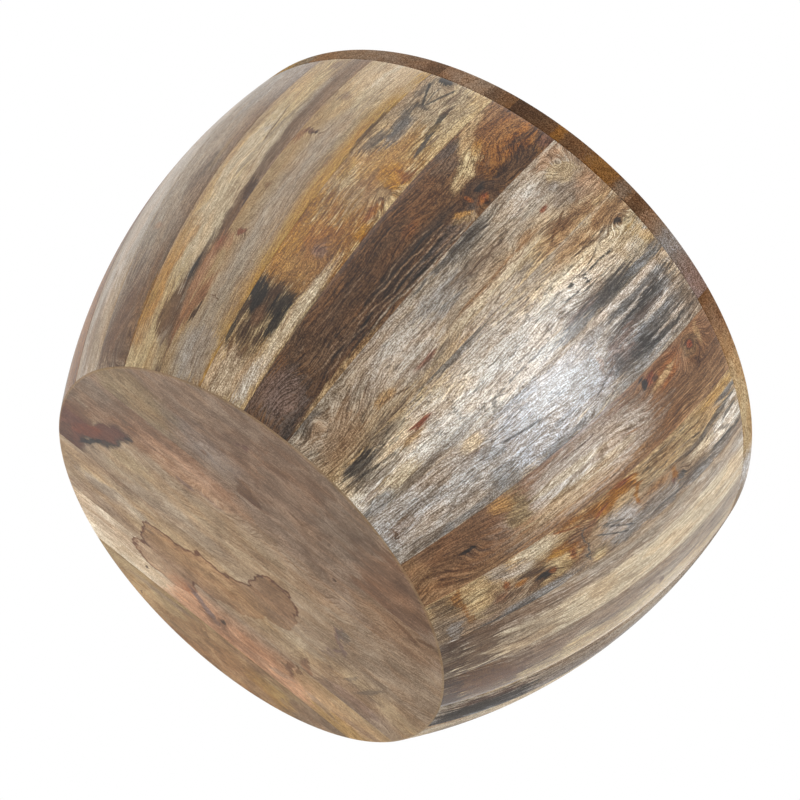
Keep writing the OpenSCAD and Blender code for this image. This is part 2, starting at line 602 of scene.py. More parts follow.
class BoardMaterial:
    """The node material of one board."""

    BENT = Layer(17, 30, 4, 0.62)
    SWAYED = Layer(34, 60, 1, 0.62)
    NUDGED = Layer(6, 16, 3, 0.62)
    SWAYED_SHARE = 0.35
    NUDGED_SHARE = 0.24
    PUSH_STRETCH = 2.4
    WANDER_SHARE = 3.0
    EYE_REACH = 1.8
    EYE_PUSH = 1.1
    OPEN_PORE = (-0.10, -0.22)
    GROUND_SWAY = 0.5
    GROUND_STREAK = 22.0
    GROUND_CLOUD = 26.0
    LARGE_BLOT = 9.0
    STREAK_FRAY = 3.2
    CLOUD_FRAY = 1.6
    RIM_WIDTH = (0.10, 0.02)
    VEIN_SWAY = 3.0
    VEIN_FRAY = 3.0
    VEIN_EDGE = (1.6, 0.4)
    VEIN_ENDS = 0.7
    VEIN_GAPS = (0.32, 0.5)
    VEIN_FAINT = 0.3
    ZONE_WIDTH = (0.020, 0.005)
    ZONE_CLOUD = (-0.06, 0.06)
    SPILL_JOIN = 0.25
    SPILL_RAGGED = 0.8
    SPILL_EDGE = (1.02, 0.97)
    SPILL_RIM = 0.95
    SPILL_RIM_WIDTH = (0.08, 0.01)
    SPREAD = 40.0

    WANDER = Layer(75, 190, 2)
    CURL = Layer(26, 58, 1)
    RINGS = Layer(2.6, 110, 3, 0.7)
    STREAK = Layer(2.1, 36, 4, 0.78)
    FIBRE = Layer(1.0, 12, 3, 0.75)
    FLECK = Layer(1.1, 1.7, 1)
    CLOUD = Layer(26, 80, 4, 0.6)
    HUE = Layer(15, 56, 1.5)
    VEIN_WIGGLE = Layer(1, 46, 2)
    VEIN_BREAKS = Layer(1, 9, 2)
    ZONE_CONTOUR = Layer(10, 70, 3, 0.6, 0.4)
    SPILL_WOBBLE = Layer(24, 26, 3)

    # Stops of light that each layer moves where its share in the board is 1.
    RING_STOPS = 4.3
    STREAK_STOPS = 10.0
    CLOUD_STOPS = 5.2
    FIBRE_STOPS = 14.5
    FLECK_STOPS = 11.0
    REST_STOPS = 0.1
    BRIGHTEST_STOPS = 1.0
    BRIGHTEST_EASE = 0.8
    # Light and dark grain moves blue more than red, so that dark grain is browner and not greyer.
    CHANNEL_SHARES = (0.86, 1.0, 1.16)

    WARM_CAST = (1.0, 0.90, 0.78, 1.0)
    COOL_CAST = (0.90, 0.94, 0.97, 1.0)
    DARK_GRAIN = (0.66, 0.52, 0.40, 1.0)
    PORE = (0.48, 0.40, 0.34, 1.0)
    WARM_HUES = (0.46, 0.66)
    COOL_HUES = (0.54, 0.34)
    DARK_FIGURE = (-0.02, -0.26)
    DARK_SHARE = 1.3
    PORE_SHARE = 1.2
    # Fray, width in millimetres and strength of the pale painted highlight along the base's rim.
    RIM_HIGHLIGHT_FRAY = 3.0
    RIM_HIGHLIGHT_WIDTH = 1.6
    RIM_HIGHLIGHT_AMOUNT = 0.3
    BUMP_DEPTH = 0.0006
    STREAK_HEIGHT = 1.2
    RING_HEIGHT = 0.8
    PORE_HEIGHT = -0.5
    PORE_ROUGHNESS = 0.2

    def __init__(self, name: str, board: Board, finish: WoodFinish, lay: Lay) -> None:
        """Start a material.

        Args:
            name: Name of the material.
            board: The wood.
            finish: How it is worked.
            lay: How the board lies in the table.
        """
        self.material = bpy.data.materials.new(name)
        self.material.use_nodes = True
        self.sheet = NodeSheet(self.material.node_tree)
        self.board = board
        self.finish = finish
        self.chance = random.Random(board.seed)
        axes = lay.axes(self.sheet)
        self.across, self.along, self.depth = axes.across, axes.along, axes.depth
        self.place = self.sheet.combine(self.across, self.along, self.depth)
        self.bent = self._pushed(self.BENT, board.ragged)
        self.swayed = self._pushed(self.SWAYED, self.SWAYED_SHARE * board.ragged)
        self.nudged = self._pushed(self.NUDGED, self.NUDGED_SHARE * board.ragged)

    def _spot(self, source: Signal, layer: Layer) -> Signal:
        """Turn a place into a layer's own units, from a start drawn at random."""
        shift = tuple(self.chance.uniform(-self.SPREAD, self.SPREAD) for _ in range(3))
        scale = (1 / layer.width, 1 / layer.length, 1 / layer.width)
        inputs = {"Vector": source, "Location": shift, "Scale": scale}
        return self.sheet.node("ShaderNodeMapping", {"vector_type": "POINT"}, inputs)

    def _pushed(self, layer: Layer, reach: float) -> Signal:
        """Push places about, so that what is drawn there gets an uneven outline.

        Args:
            layer: Sizes of the pushes.
            reach: How far a place can move across the grain, in millimetres.

        Returns:
            The pushed place.
        """
        sheet = self.sheet
        push = sheet.noise(self._spot(self.place, layer), layer.detail, layer.roughness, output="Color")
        push = sheet.vector_math("SUBTRACT", push, (0.5, 0.5, 0.5))
        push = sheet.vector_math("MULTIPLY", push, (reach, self.PUSH_STRETCH * reach, 0.0))
        return sheet.vector_math("ADD", self.place, push)

    def _noise_at(self, source: Signal, layer: Layer) -> Signal:
        """Sample a layer of noise, around one half."""
        return self.sheet.noise(self._spot(source, layer), layer.detail, layer.roughness, layer.distortion)

    def _distance(
        self, source: Signal, across: float, along: float, halves: tuple[float, float], tilt: float
    ) -> Signal:
        """Distance from a point of the board in an oval measure that is 1 on the oval's edge.

        Args:
            source: Place with across, along and depth.
            across: Middle across the grain.
            along: Middle along the grain.
            halves: Half sizes across and along.
            tilt: Turn of the oval in degrees.

        Returns:
            The distance.
        """
        inputs = {
            "Vector": source,
            "Location": (across, along, 0.0),
            "Rotation": (0.0, 0.0, math.radians(tilt)),
            "Scale": (halves[0], halves[1], 1e6),
        }
        return self.sheet.length(self.sheet.node("ShaderNodeMapping", {"vector_type": "TEXTURE"}, inputs))

    def _flow(self, sway: Signal) -> Signal:
        """Distance of a point from the pith, which is constant along each growth line.

        Args:
            sway: Slow sideways wander of the grain.

        Returns:
            The distance in millimetres.
        """
        heart = self.board.heart
        side = self.across + sway - heart.across
        if heart.lean:
            side = self.sheet.math("MULTIPLY_ADD", self.along, heart.lean, side)
        below = self.along * heart.slope + heart.depth
        if isinstance(self.depth, Signal):
            below = below + self.depth
        flow = self.sheet.length(self.sheet.combine(side, below, 0.0))
        for eye in self.board.eyes:
            halves = (eye.half_across, eye.half_along)
            away = self._distance(self.swayed, eye.across, eye.along, halves, eye.tilt)
            push = self.EYE_PUSH * eye.half_across * eye.spread
            flow = flow + self.sheet.step(away, self.EYE_REACH, 0.0, 0.0, push)
        return flow

    def _figure(self) -> Figure:
        """Lay out the board's grain.

        Returns:
            Its noise layers.
        """
        board = self.board
        wander = self._noise_at(self.place, self.WANDER) - 0.5
        curl = self._noise_at(self.place, self.CURL) - 0.5
        sway = wander * (self.WANDER_SHARE * board.drift) + curl * board.drift
        stream = self.sheet.combine(self._flow(sway), self.along, self.depth)
        rings = self._noise_at(stream, self.RINGS) - 0.5
        streak = self._noise_at(stream, self.STREAK) - 0.5
        fibre = self._noise_at(stream, self.FIBRE) - 0.5
        fleck = self._noise_at(self.place, self.FLECK) - 0.5
        cloud = self._noise_at(self.bent, replace(self.CLOUD, length=board.cloud_run)) - 0.5
        hue = self._noise_at(self.bent, self.HUE)
        open_pore = self.sheet.step(fibre, *self.OPEN_PORE)
        return Figure(sway, rings, streak, fibre, fleck, cloud, hue, open_pore)

    def _ground(self, place: Signal) -> Signal:
        """Tones across the board.

        Args:
            place: Place across the grain with its wander.

        Returns:
            The colour.
        """
        low, high = self.board.ground[0][0], self.board.ground[-1][0]
        span = high - low
        stops = [((across - low) / span, tone.rgba) for across, tone in self.board.ground]
        scaled = self.sheet.math("MULTIPLY_ADD", place, 1 / span, -low / span)
        return self.sheet.node("ShaderNodeValToRGB", {"stops": stops}, {0: scaled})

    def _blots(self, colour: Signal, figure: Figure) -> Signal:
        """Lay the board's blots over its ground.

        Args:
            colour: The ground.
            figure: The board's grain, which frays them.

        Returns:
            The colour with its blots.
        """
        sheet = self.sheet
        for blot in self.board.blots:
            halves = (blot.half_across, blot.half_along)
            large = blot.half_across > self.LARGE_BLOT
            source = self.bent if large else self.nudged
            away = self._distance(source, blot.across, blot.along, halves, blot.tilt)
            streak_fray = self.STREAK_FRAY * blot.fray * self.board.fraying
            ragged = sheet.math("MULTIPLY_ADD", figure.streak, streak_fray, away)
            if large:
                ragged = sheet.math("MULTIPLY_ADD", figure.cloud, self.CLOUD_FRAY * blot.fray, ragged)
            mask = sheet.step(ragged, 1.0 + blot.soft, 1.0 - blot.soft, 0.0, blot.amount)
            colour = sheet.blend(colour, blot.tone.rgba, mask)
            if blot.rim:
                edge = sheet.math("ABSOLUTE", ragged - 1.0)
                line = sheet.step(edge, *self.RIM_WIDTH, 0.0, blot.rim)
                colour = sheet.blend(colour, Tone.INK.rgba, line)
        return colour

    def _veins(self, colour: Signal, fibre: Signal) -> Signal:
        """Draw the board's veins.

        Args:
            colour: The colour so far.
            fibre: Fine noise along the grain, around zero.

        Returns:
            The colour with its veins.
        """
        sheet = self.sheet
        run = sheet.combine(0.0, self.along, 0.0)
        for vein in self.board.veins:
            middle, half = (vein.start + vein.end) / 2, abs(vein.end - vein.start) / 2
            wiggle = self._noise_at(run, self.VEIN_WIGGLE) - 0.5
            line = sheet.math("MULTIPLY_ADD", self.along - middle, vein.slope, vein.across)
            line = sheet.math("MULTIPLY_ADD", wiggle, self.VEIN_SWAY * vein.sway, line)
            gap = sheet.math("ABSOLUTE", self.across - line)
            edge = [share * vein.half_width for share in self.VEIN_EDGE]
            near = sheet.step(gap + fibre * self.VEIN_FRAY, *edge)
            inside = sheet.step(sheet.math("ABSOLUTE", self.along - middle), half, half * self.VEIN_ENDS)
            breaks = self._noise_at(run, self.VEIN_BREAKS)
            whole = sheet.step(breaks, *self.VEIN_GAPS, self.VEIN_FAINT * vein.amount, vein.amount)
            colour = sheet.blend(colour, vein.tone.rgba, near * inside * whole)
        return colour

    def _zone_lines(self, colour: Signal, cloud: Signal) -> Signal:
        """Draw thin black zone lines where the wood is spalted.

        Args:
            colour: The colour so far.
            cloud: Coarse noise, around zero.

        Returns:
            The colour with zone lines.
        """
        if not self.board.spalt:
            return colour
        contour = self._noise_at(self.swayed, self.ZONE_CONTOUR)
        near = self.sheet.math("ABSOLUTE", contour - 0.5)
        line = self.sheet.step(near, *self.ZONE_WIDTH)
        here = self.sheet.step(cloud, *self.ZONE_CLOUD, 0.0, self.board.spalt)
        return self.sheet.blend(colour, Tone.INK.rgba, line * here)

    def _spill(self, colour: Signal, spill: Spill) -> Signal:
        """Lay a water mark over the colour.

        Args:
            colour: The colour so far.
            spill: The mark, its ovals given as X, Y, half X, half Y and tilt.

        Returns:
            The colour with the mark.
        """
        sheet = self.sheet
        nearest: Signal | None = None
        for x, y, half_x, half_y, tilt in spill.ovals:
            away = self._distance(self.nudged, y, x, (half_y, half_x), -tilt)
            nearest = away if nearest is None else sheet.math("SMOOTH_MIN", nearest, away, self.SPILL_JOIN)
        wobble = self._noise_at(self.place, self.SPILL_WOBBLE) - 0.5
        ragged = sheet.math("MULTIPLY_ADD", wobble, self.SPILL_RAGGED, nearest)
        damp = sheet.step(ragged, *self.SPILL_EDGE, 0.0, spill.amount)
        colour = sheet.blend(colour, spill.tone.rgba, damp, "MULTIPLY")
        edge = sheet.math("ABSOLUTE", ragged - self.SPILL_RIM)
        line = sheet.step(edge, *self.SPILL_RIM_WIDTH, 0.0, spill.rim_amount)
        dried = sheet.math("MULTIPLY_ADD", self.along, spill.fade_slope, self.across)
        line = line * sheet.step(dried, spill.fade_end, spill.fade_start)
        return sheet.blend(colour, spill.rim_tone.rgba, line, "MULTIPLY")

    def _lit(self, colour: Signal, figure: Figure) -> Signal:
        """Lighten and darken the colour along the grain, and cast it warm and cool.

        Args:
            colour: The colour so far.
            figure: The board's grain.

        Returns:
            The colour with its grain.
        """
        sheet, board = self.sheet, self.board
        warm = sheet.step(figure.hue, *self.WARM_HUES, 0.0, board.tint)
        colour = sheet.blend(colour, self.WARM_CAST, warm, "MULTIPLY")
        cool = sheet.step(figure.hue, *self.COOL_HUES, 0.0, board.tint)
        colour = sheet.blend(colour, self.COOL_CAST, cool, "MULTIPLY")
        stops = (
            figure.rings * (self.RING_STOPS * board.lines)
            + figure.streak * (self.STREAK_STOPS * board.lines)
            + figure.cloud * (self.CLOUD_STOPS * board.mottle)
            + figure.fibre * (self.FIBRE_STOPS * board.pores)
            + figure.fleck * (self.FLECK_STOPS * board.pores)
            - (self.REST_STOPS + board.shade)
        )
        stops = sheet.math("SMOOTH_MIN", stops, self.BRIGHTEST_STOPS, self.BRIGHTEST_EASE)
        light = sheet.combine(*(sheet.math("POWER", 2.0, stops * share) for share in self.CHANNEL_SHARES))
        colour = sheet.vector_math("MULTIPLY", colour, light)
        colour = sheet.vector_math("MULTIPLY", colour, self.finish.cast)
        depth = min(1.0, self.DARK_SHARE * board.lines)
        dark = sheet.step(figure.rings + figure.streak, *self.DARK_FIGURE, 0.0, depth)
        colour = sheet.blend(colour, self.DARK_GRAIN, dark, "MULTIPLY")
        pores = figure.open_pore * (self.PORE_SHARE * board.pores)
        return sheet.blend(colour, self.PORE, pores, "MULTIPLY")

    def _paint_rim_highlight(self, colour: Signal, streak: Signal, radius: float) -> Signal:
        """Paint the wood pale past a radius from the table's axis, given in metres: a painted highlight
        where the base's rim catches light.
        """
        sheet = self.sheet
        out = sheet.length(sheet.vector_math("MULTIPLY", self.place, (1.0, 1.0, 0.0)))
        start = radius / MM
        frayed = out + streak * self.RIM_HIGHLIGHT_FRAY
        # Painted highlight: the rim is painted pale sand where its edge catches light.
        rubbed = sheet.step(frayed, start, start + self.RIM_HIGHLIGHT_WIDTH, 0.0, self.RIM_HIGHLIGHT_AMOUNT)
        return sheet.blend(colour, Tone.SAND.rgba, rubbed)

    def build(self, spill: Spill | None = None, highlight_radius: float = 0.0) -> bpy.types.Material:
        """Fill the node tree.

        Args:
            spill: A water mark that crosses the board.
            highlight_radius: Radius in metres past which the wood is painted pale as a highlight along the
                rim, or 0.

        Returns:
            The material.
        """
        sheet, finish = self.sheet, self.finish
        figure = self._figure()
        streak = figure.streak
        waved = self.across + figure.sway * self.GROUND_SWAY
        waved = waved + streak * self.GROUND_STREAK + figure.cloud * self.GROUND_CLOUD
        colour = self._blots(self._ground(waved), figure)
        if spill:
            colour = self._spill(colour, spill)
        colour = self._veins(colour, figure.fibre)
        colour = self._lit(colour, figure)
        colour = self._zone_lines(colour, figure.cloud)
        # Painted highlight: a pale line along the base's rim.
        if highlight_radius:
            colour = self._paint_rim_highlight(colour, streak, highlight_radius)

        rough = sheet.math("MULTIPLY_ADD", streak, finish.roughness_span * 2, finish.roughness)
        rough = sheet.math("MULTIPLY_ADD", figure.open_pore, self.PORE_ROUGHNESS, rough)
        height = sheet.math("MULTIPLY_ADD", streak, self.STREAK_HEIGHT, figure.rings * self.RING_HEIGHT)
        height = sheet.math("MULTIPLY_ADD", figure.open_pore, self.PORE_HEIGHT, height)
        bump_inputs = {"Strength": finish.relief, "Distance": self.BUMP_DEPTH, "Height": height}
        inputs = {
            "Base Color": colour,
            "Roughness": rough,
            "Normal": sheet.node("ShaderNodeBump", None, bump_inputs),
            "Specular IOR Level": finish.specular,
            "Coat Weight": finish.coat,
            "Coat Roughness": finish.coat_roughness,
        }
        surface = sheet.node("ShaderNodeBsdfPrincipled", None, inputs)
        sheet.node("ShaderNodeOutputMaterial", None, {"Surface": surface})
        return self.material


def zinc_material() -> bpy.types.Material:
    """Make the zinc-plated steel of the screws.

    Returns:
        The material.
    """
    material = bpy.data.materials.new("zinc_plated_steel")
    material.use_nodes = True
    sheet = NodeSheet(material.node_tree)
    place = object_place(sheet)
    spangle = sheet.noise(sheet.vector_math("MULTIPLY", place, (0.9, 0.9, 0.9)), 4, 0.6)
    colour = sheet.blend((0.42, 0.42, 0.40, 1.0), (0.66, 0.66, 0.63, 1.0), sheet.step(spangle, 0.35, 0.65))
    rough = sheet.step(spangle, 0.3, 0.7, 0.24, 0.42)
    bump = sheet.node("ShaderNodeBump", None, {"Strength": 0.2, "Distance": 0.0001, "Height": spangle})
    inputs = {"Base Color": colour, "Roughness": rough, "Metallic": 1.0, "Normal": bump}
    surface = sheet.node("ShaderNodeBsdfPrincipled", None, inputs)
    sheet.node("ShaderNodeOutputMaterial", None, {"Surface": surface})
    return material


STAVE_17 = Board(
    seed=117,
    shade=-0.1,
    ground=((-41, Tone.GREIGE), (0, Tone.LINEN), (20, Tone.LINEN), (41, Tone.GREIGE)),
    blots=(
        Blot(0, 20, 50, 50, Tone.PEWTER, 0.5, soft=0.6),
        Blot(10, -200, 26, 110, Tone.LINEN, 0.6, soft=0.5),
        Blot(26, -70, 4, 16, Tone.DUN, 0.6),
        Blot(20, -355, 30, 60, Tone.SAND, 0.6, soft=0.5),
        Blot(-6, -350, 10, 60, Tone.DUN, 0.5),
    ),
    lines=0.26,
    mottle=0.25,
    pores=0.26,
)
STAVE_18 = Board(
    seed=118,
    shade=-0.05,
    ground=((-40, Tone.GREIGE), (0, Tone.GREIGE), (40, Tone.DUN)),
    blots=(
        Blot(0, 15, 60, 60, Tone.ASH, 0.45, soft=0.6),
        Blot(10, -155, 14, 42, Tone.DUN),
        Blot(14, -150, 6, 26, Tone.TAUPE, 0.6),
        Blot(22, -140, 5, 24, Tone.OLIVE, 0.5),
        Blot(0, -255, 50, 40, Tone.TAUPE, 0.3, soft=0.6),
        Blot(-16, -238, 9, 5, Tone.PEACH, 0.5),
        Blot(-8, -288, 8, 20, Tone.LEAD, 0.35),
        Blot(0, -350, 50, 78, Tone.BARK, 0.75, soft=0.6),
        Blot(6, -370, 44, 54, Tone.COFFEE, 0.6, soft=0.6),
        Blot(-4, -350, 16, 50, Tone.CHESTNUT, 0.5),
        Blot(34, -350, 6, 48, Tone.GOLD, 0.85),
        Blot(22, -330, 8, 60, Tone.FAWN, 0.5),
    ),
    eyes=(Eye(-6, -388, 24, 50, 0.9),),
    lines=0.32,
    pores=0.32,
)
STAVE_19 = Board(
    seed=119,
    shade=-0.2,
    ground=(
        (-41, Tone.SAND),
        (-16, Tone.CREAM),
        (4, Tone.CREAM),
        (14, Tone.GREIGE),
        (24, Tone.BARK),
        (41, Tone.DUN),
    ),
    blots=(
        Blot(16, 26, 30, 28, Tone.DUN, 0.6),
        Blot(0, 22, 7, 8, Tone.MAUVE, 0.5),
        Blot(-26, 5, 14, 34, Tone.SAND, 0.5),
        Blot(-14, -150, 15, 80, Tone.CHALK, 0.9),
        Blot(-6, -215, 14, 60, Tone.CHALK, 0.7),
        Blot(13, -180, 9, 90, Tone.CHALK),
        Blot(3, -120, 3.5, 60, Tone.GREIGE, 0.7, -6),
        Blot(-10, -100, 6, 5, Tone.LINEN, 0.6),
        Blot(34, 0, 12, 60, Tone.DUN, 0.6),
        Blot(-4, -240, 26, 64, Tone.CREAM, 0.9, fray=0.5),
        Blot(-2, -232, 24, 60, Tone.CHALK, 0.8, fray=0.5),
        Blot(-24, -270, 14, 40, Tone.HONEY, 0.6, fray=0.5),
        Blot(-26, -335, 14, 60, Tone.HONEY, 0.9, fray=0.5),
        Blot(-36, -345, 6, 34, Tone.GOLD),
        Blot(-30, -350, 8, 32, Tone.STRAW),
        Blot(-36, -150, 6, 150, Tone.SAND, 0.6),
        Blot(33, -235, 6, 60, Tone.COFFEE, 0.7),
        Blot(32, -192, 6, 15, Tone.UMBER, 0.95),
        Blot(35, -264, 4, 12, Tone.EMBER, 0.9),
        Blot(31, -320, 7, 60, Tone.PEACH, 0.75),
        Blot(20, -275, 3, 30, Tone.UMBER, 0.7),
        Blot(17, -305, 3.2, 24, Tone.INK, 0.9),
        Blot(11, -348, 11, 34, Tone.COFFEE, 0.85),
        Blot(-16, -385, 14, 20, Tone.SAND, 0.6),
        Blot(0, -400, 34, 22, Tone.CREAM, 0.6),
    ),
    veins=(
        Vein(-3, -52, -125, 1.3, -0.12, 2, Tone.COFFEE, 0.8),
        Vein(13, -120, -215, 0.9, -0.12, 3, Tone.FAWN, 0.6),
        Vein(-10, -330, -400, 0.8, 0.1, 4, Tone.FAWN, 0.6),
    ),
    lines=0.26,
    mottle=0.25,
    pores=0.26,
)
STAVE_20 = Board(
    seed=120,
    shade=-0.12,
    ground=(
        (-41, Tone.SAND),
        (-26, Tone.SAND),
        (0, Tone.GREIGE),
        (22, Tone.SAND),
        (34, Tone.STRAW),
        (41, Tone.STRAW),
    ),
    blots=(
        Blot(-4, 10, 40, 55, Tone.CHALK, 0.6, soft=0.5),
        Blot(2, -40, 30, 40, Tone.CREAM, 0.5),
        Blot(4, -190, 13, 170, Tone.GREIGE, 0.75, soft=0.5),
        Blot(30, -120, 8, 110, Tone.STRAW, 0.6),
        Blot(33, -150, 5, 80, Tone.GOLD, 0.5),
        Blot(18, -110, 4, 70, Tone.OLIVE, 0.5),
        Blot(39, -70, 2.6, 45, Tone.UMBER, 0.9),
        Blot(38, -300, 3, 34, Tone.COFFEE),
        Blot(36, -348, 4, 26, Tone.SLATE),
        Blot(-22, -35, 7, 8, Tone.MAUVE, 0.6, rim=0.2),
        Blot(-24, -97, 9, 5, Tone.PLUM, 0.85),
        Blot(-19, -98, 3.5, 3, Tone.UMBER, 0.95),
        Blot(-35, -106, 5, 12, Tone.EMBER, 0.55),
        Blot(-25, -181, 4.5, 4, Tone.FAWN, 0.9, rim=0.5),
        Blot(-19, -243, 5, 5, Tone.EMBER, 0.85, rim=0.4),
        Blot(-28, -258, 8, 12, Tone.PEACH, 0.7),
        Blot(-35, -262, 4, 18, Tone.EMBER, 0.65),
        Blot(-34, -300, 5, 30, Tone.PEACH, 0.6),
        Blot(-25, -330, 7, 32, Tone.EMBER, 0.6, -10),
        Blot(-19, -345, 2.6, 14, Tone.UMBER, 0.95, -12),
        Blot(-3, -322, 9, 0.9, Tone.COFFEE, 0.7, 0, 0.4),
        Blot(4, -385, 26, 30, Tone.ASH, 0.35),
    ),
    eyes=(Eye(-24, -97, 11, 12, 0.8), Eye(-20, -243, 9, 12, 0.8)),
    lines=0.24,
    mottle=0.25,
    pores=0.3,
)
STAVE_21 = Board(
    seed=121,
    shade=0.2,
    ground=((-41, Tone.SAND), (-5, Tone.CREAM), (41, Tone.CREAM)),
    blots=(
        Blot(-10, -10, 34, 60, Tone.GREIGE, 0.6),
        Blot(-4, -95, 34, 50, Tone.SAND, 0.85),
        Blot(6, -100, 30, 44, Tone.STRAW, 0.7),
        Blot(8, -116, 32, 44, Tone.AMBER, 0.4),
        Blot(0, -122, 32, 26, Tone.HONEY, 0.7),
        Blot(4, -170, 30, 34, Tone.FAWN, 0.75),
        Blot(0, -230, 40, 62, Tone.STRAW, 0.95),
        Blot(2, -238, 38, 56, Tone.AMBER, 0.98),
        Blot(8, -250, 26, 40, Tone.FAWN, 0.5),
        Blot(-35, -210, 9, 46, Tone.GOLD, 1.0),
        Blot(-38, -215, 5, 26, Tone.AMBER, 0.9),
        Blot(-26, -245, 12, 44, Tone.GOLD, 0.9),
        Blot(-8, -262, 22, 22, Tone.HONEY, 0.7),
        Blot(-30, -130, 7, 22, Tone.STRAW),
        Blot(20, -118, 16, 14, Tone.GOLD, 1.0, fray=0.6),
        Blot(24, -109, 9, 5, Tone.AMBER, 0.9),
        Blot(33, -108, 5, 10, Tone.RUST),
        Blot(25, -143, 9, 9, Tone.COFFEE, 0.85, 0, 0.5),
        Blot(25, -143, 7, 7, Tone.SAND, 0.95, 0, 0.5),
        Blot(26, -146, 2.6, 3, Tone.COFFEE, 0.95),
        Blot(28, -168, 5, 14, Tone.RUST, 0.9),
        Blot(31, -192, 4, 12, Tone.GOLD, 1.0),
        Blot(30, -160, 4, 10, Tone.AMBER),
        Blot(6, -232, 8, 8, Tone.MAUVE, 0.7, 0, 0.7),
        Blot(4, -231, 3, 4, Tone.PLUM, 0.6),
        Blot(-19, 35, 9, 8, Tone.INK, 0.95, 0, 0.6),
        Blot(-14, -17, 8, 4, Tone.INK, 0.9),
        Blot(-14, -13, 14, 7, Tone.TAUPE, 0.5),
        Blot(-30, 12, 4, 20, Tone.SLATE, 0.55),
        Blot(-20, -48, 7, 26, Tone.SLATE, 0.8, 8),
        Blot(-27, -84, 7, 22, Tone.SLATE, 0.75, -6),
        Blot(-12, -62, 8, 26, Tone.LEAD, 0.75),
        Blot(-22, -96, 4, 16, Tone.INK, 0.4),
        Blot(15, -28, 2.4, 30, Tone.INK, 0.85, 5),
        Blot(12, -10, 2.2, 12, Tone.UMBER, 0.8, -12),
        Blot(18, -40, 3.4, 9, Tone.OLIVE),
        Blot(21, -62, 2.2, 18, Tone.SLATE, 0.9, 6),
        Blot(26, -52, 2.0, 12, Tone.DUN),
        Blot(8, 6, 2, 26, Tone.DUN, 0.6, 6),
        Blot(-10, -390, 44, 44, Tone.SAND, 0.95, fray=0.5),
        Blot(-12, -392, 32, 30, Tone.CHALK, 1.0),
        Blot(-10, -392, 34, 30, Tone.PEACH, 0.22),
        Blot(-13, -318, 20, 36, Tone.UMBER, 0.9, 6, 0.6, soft=0.6),
        Blot(-25, -304, 11, 19, Tone.INK, 0.95, 14),
        Blot(-8, -292, 8, 10, Tone.UMBER, 0.9, -20),
        Blot(4, -302, 9, 18, Tone.INK, 0.9, -24),
        Blot(10, -324, 6, 22, Tone.INK, 0.95, -8),
        Blot(3, -344, 5, 14, Tone.UMBER, 0.8, 18),
        Blot(-12, -324, 7, 12, Tone.CHESTNUT, 0.7),
        Blot(-18, -344, 7, 13, Tone.UMBER, 0.7, 10),
        Blot(-31, -326, 5, 18, Tone.UMBER, 0.9),
        Blot(-29, -352, 3, 16, Tone.INK, 0.8, 10),
        Blot(-21, -366, 2.4, 12, Tone.COFFEE, 0.8, 16),
        Blot(-6, -364, 3, 12, Tone.COFFEE, 0.6, -16),
        Blot(23, -330, 8, 88, Tone.CHALK, 0.95, -3, 0.5),
        Blot(18, -385, 7, 34, Tone.BONE, 0.7, -5),
        Blot(35, -350, 4, 70, Tone.TAUPE),
    ),
    eyes=(Eye(26, -146, 12, 16, 0.9), Eye(6, -233, 10, 14, 0.7), Eye(-19, 34, 14, 14, 0.8)),
    veins=(
        Vein(-23, 26, -18, 1.6, -0.42, 1.5, Tone.INK, 0.9),
        Vein(-6, 30, -16, 1.5, 0.3, 1.5, Tone.INK, 0.85),
        Vein(-15, 24, -10, 0.8, -0.1, 2, Tone.SLATE, 0.7),
        Vein(4, 36, -30, 0.8, 0.1, 3, Tone.COFFEE, 0.6),
        Vein(27, 20, -60, 0.7, 0.0, 3, Tone.DUN, 0.6),
    ),
    lines=0.34,
    mottle=0.25,
    pores=0.4,
    spalt=0.3,
)
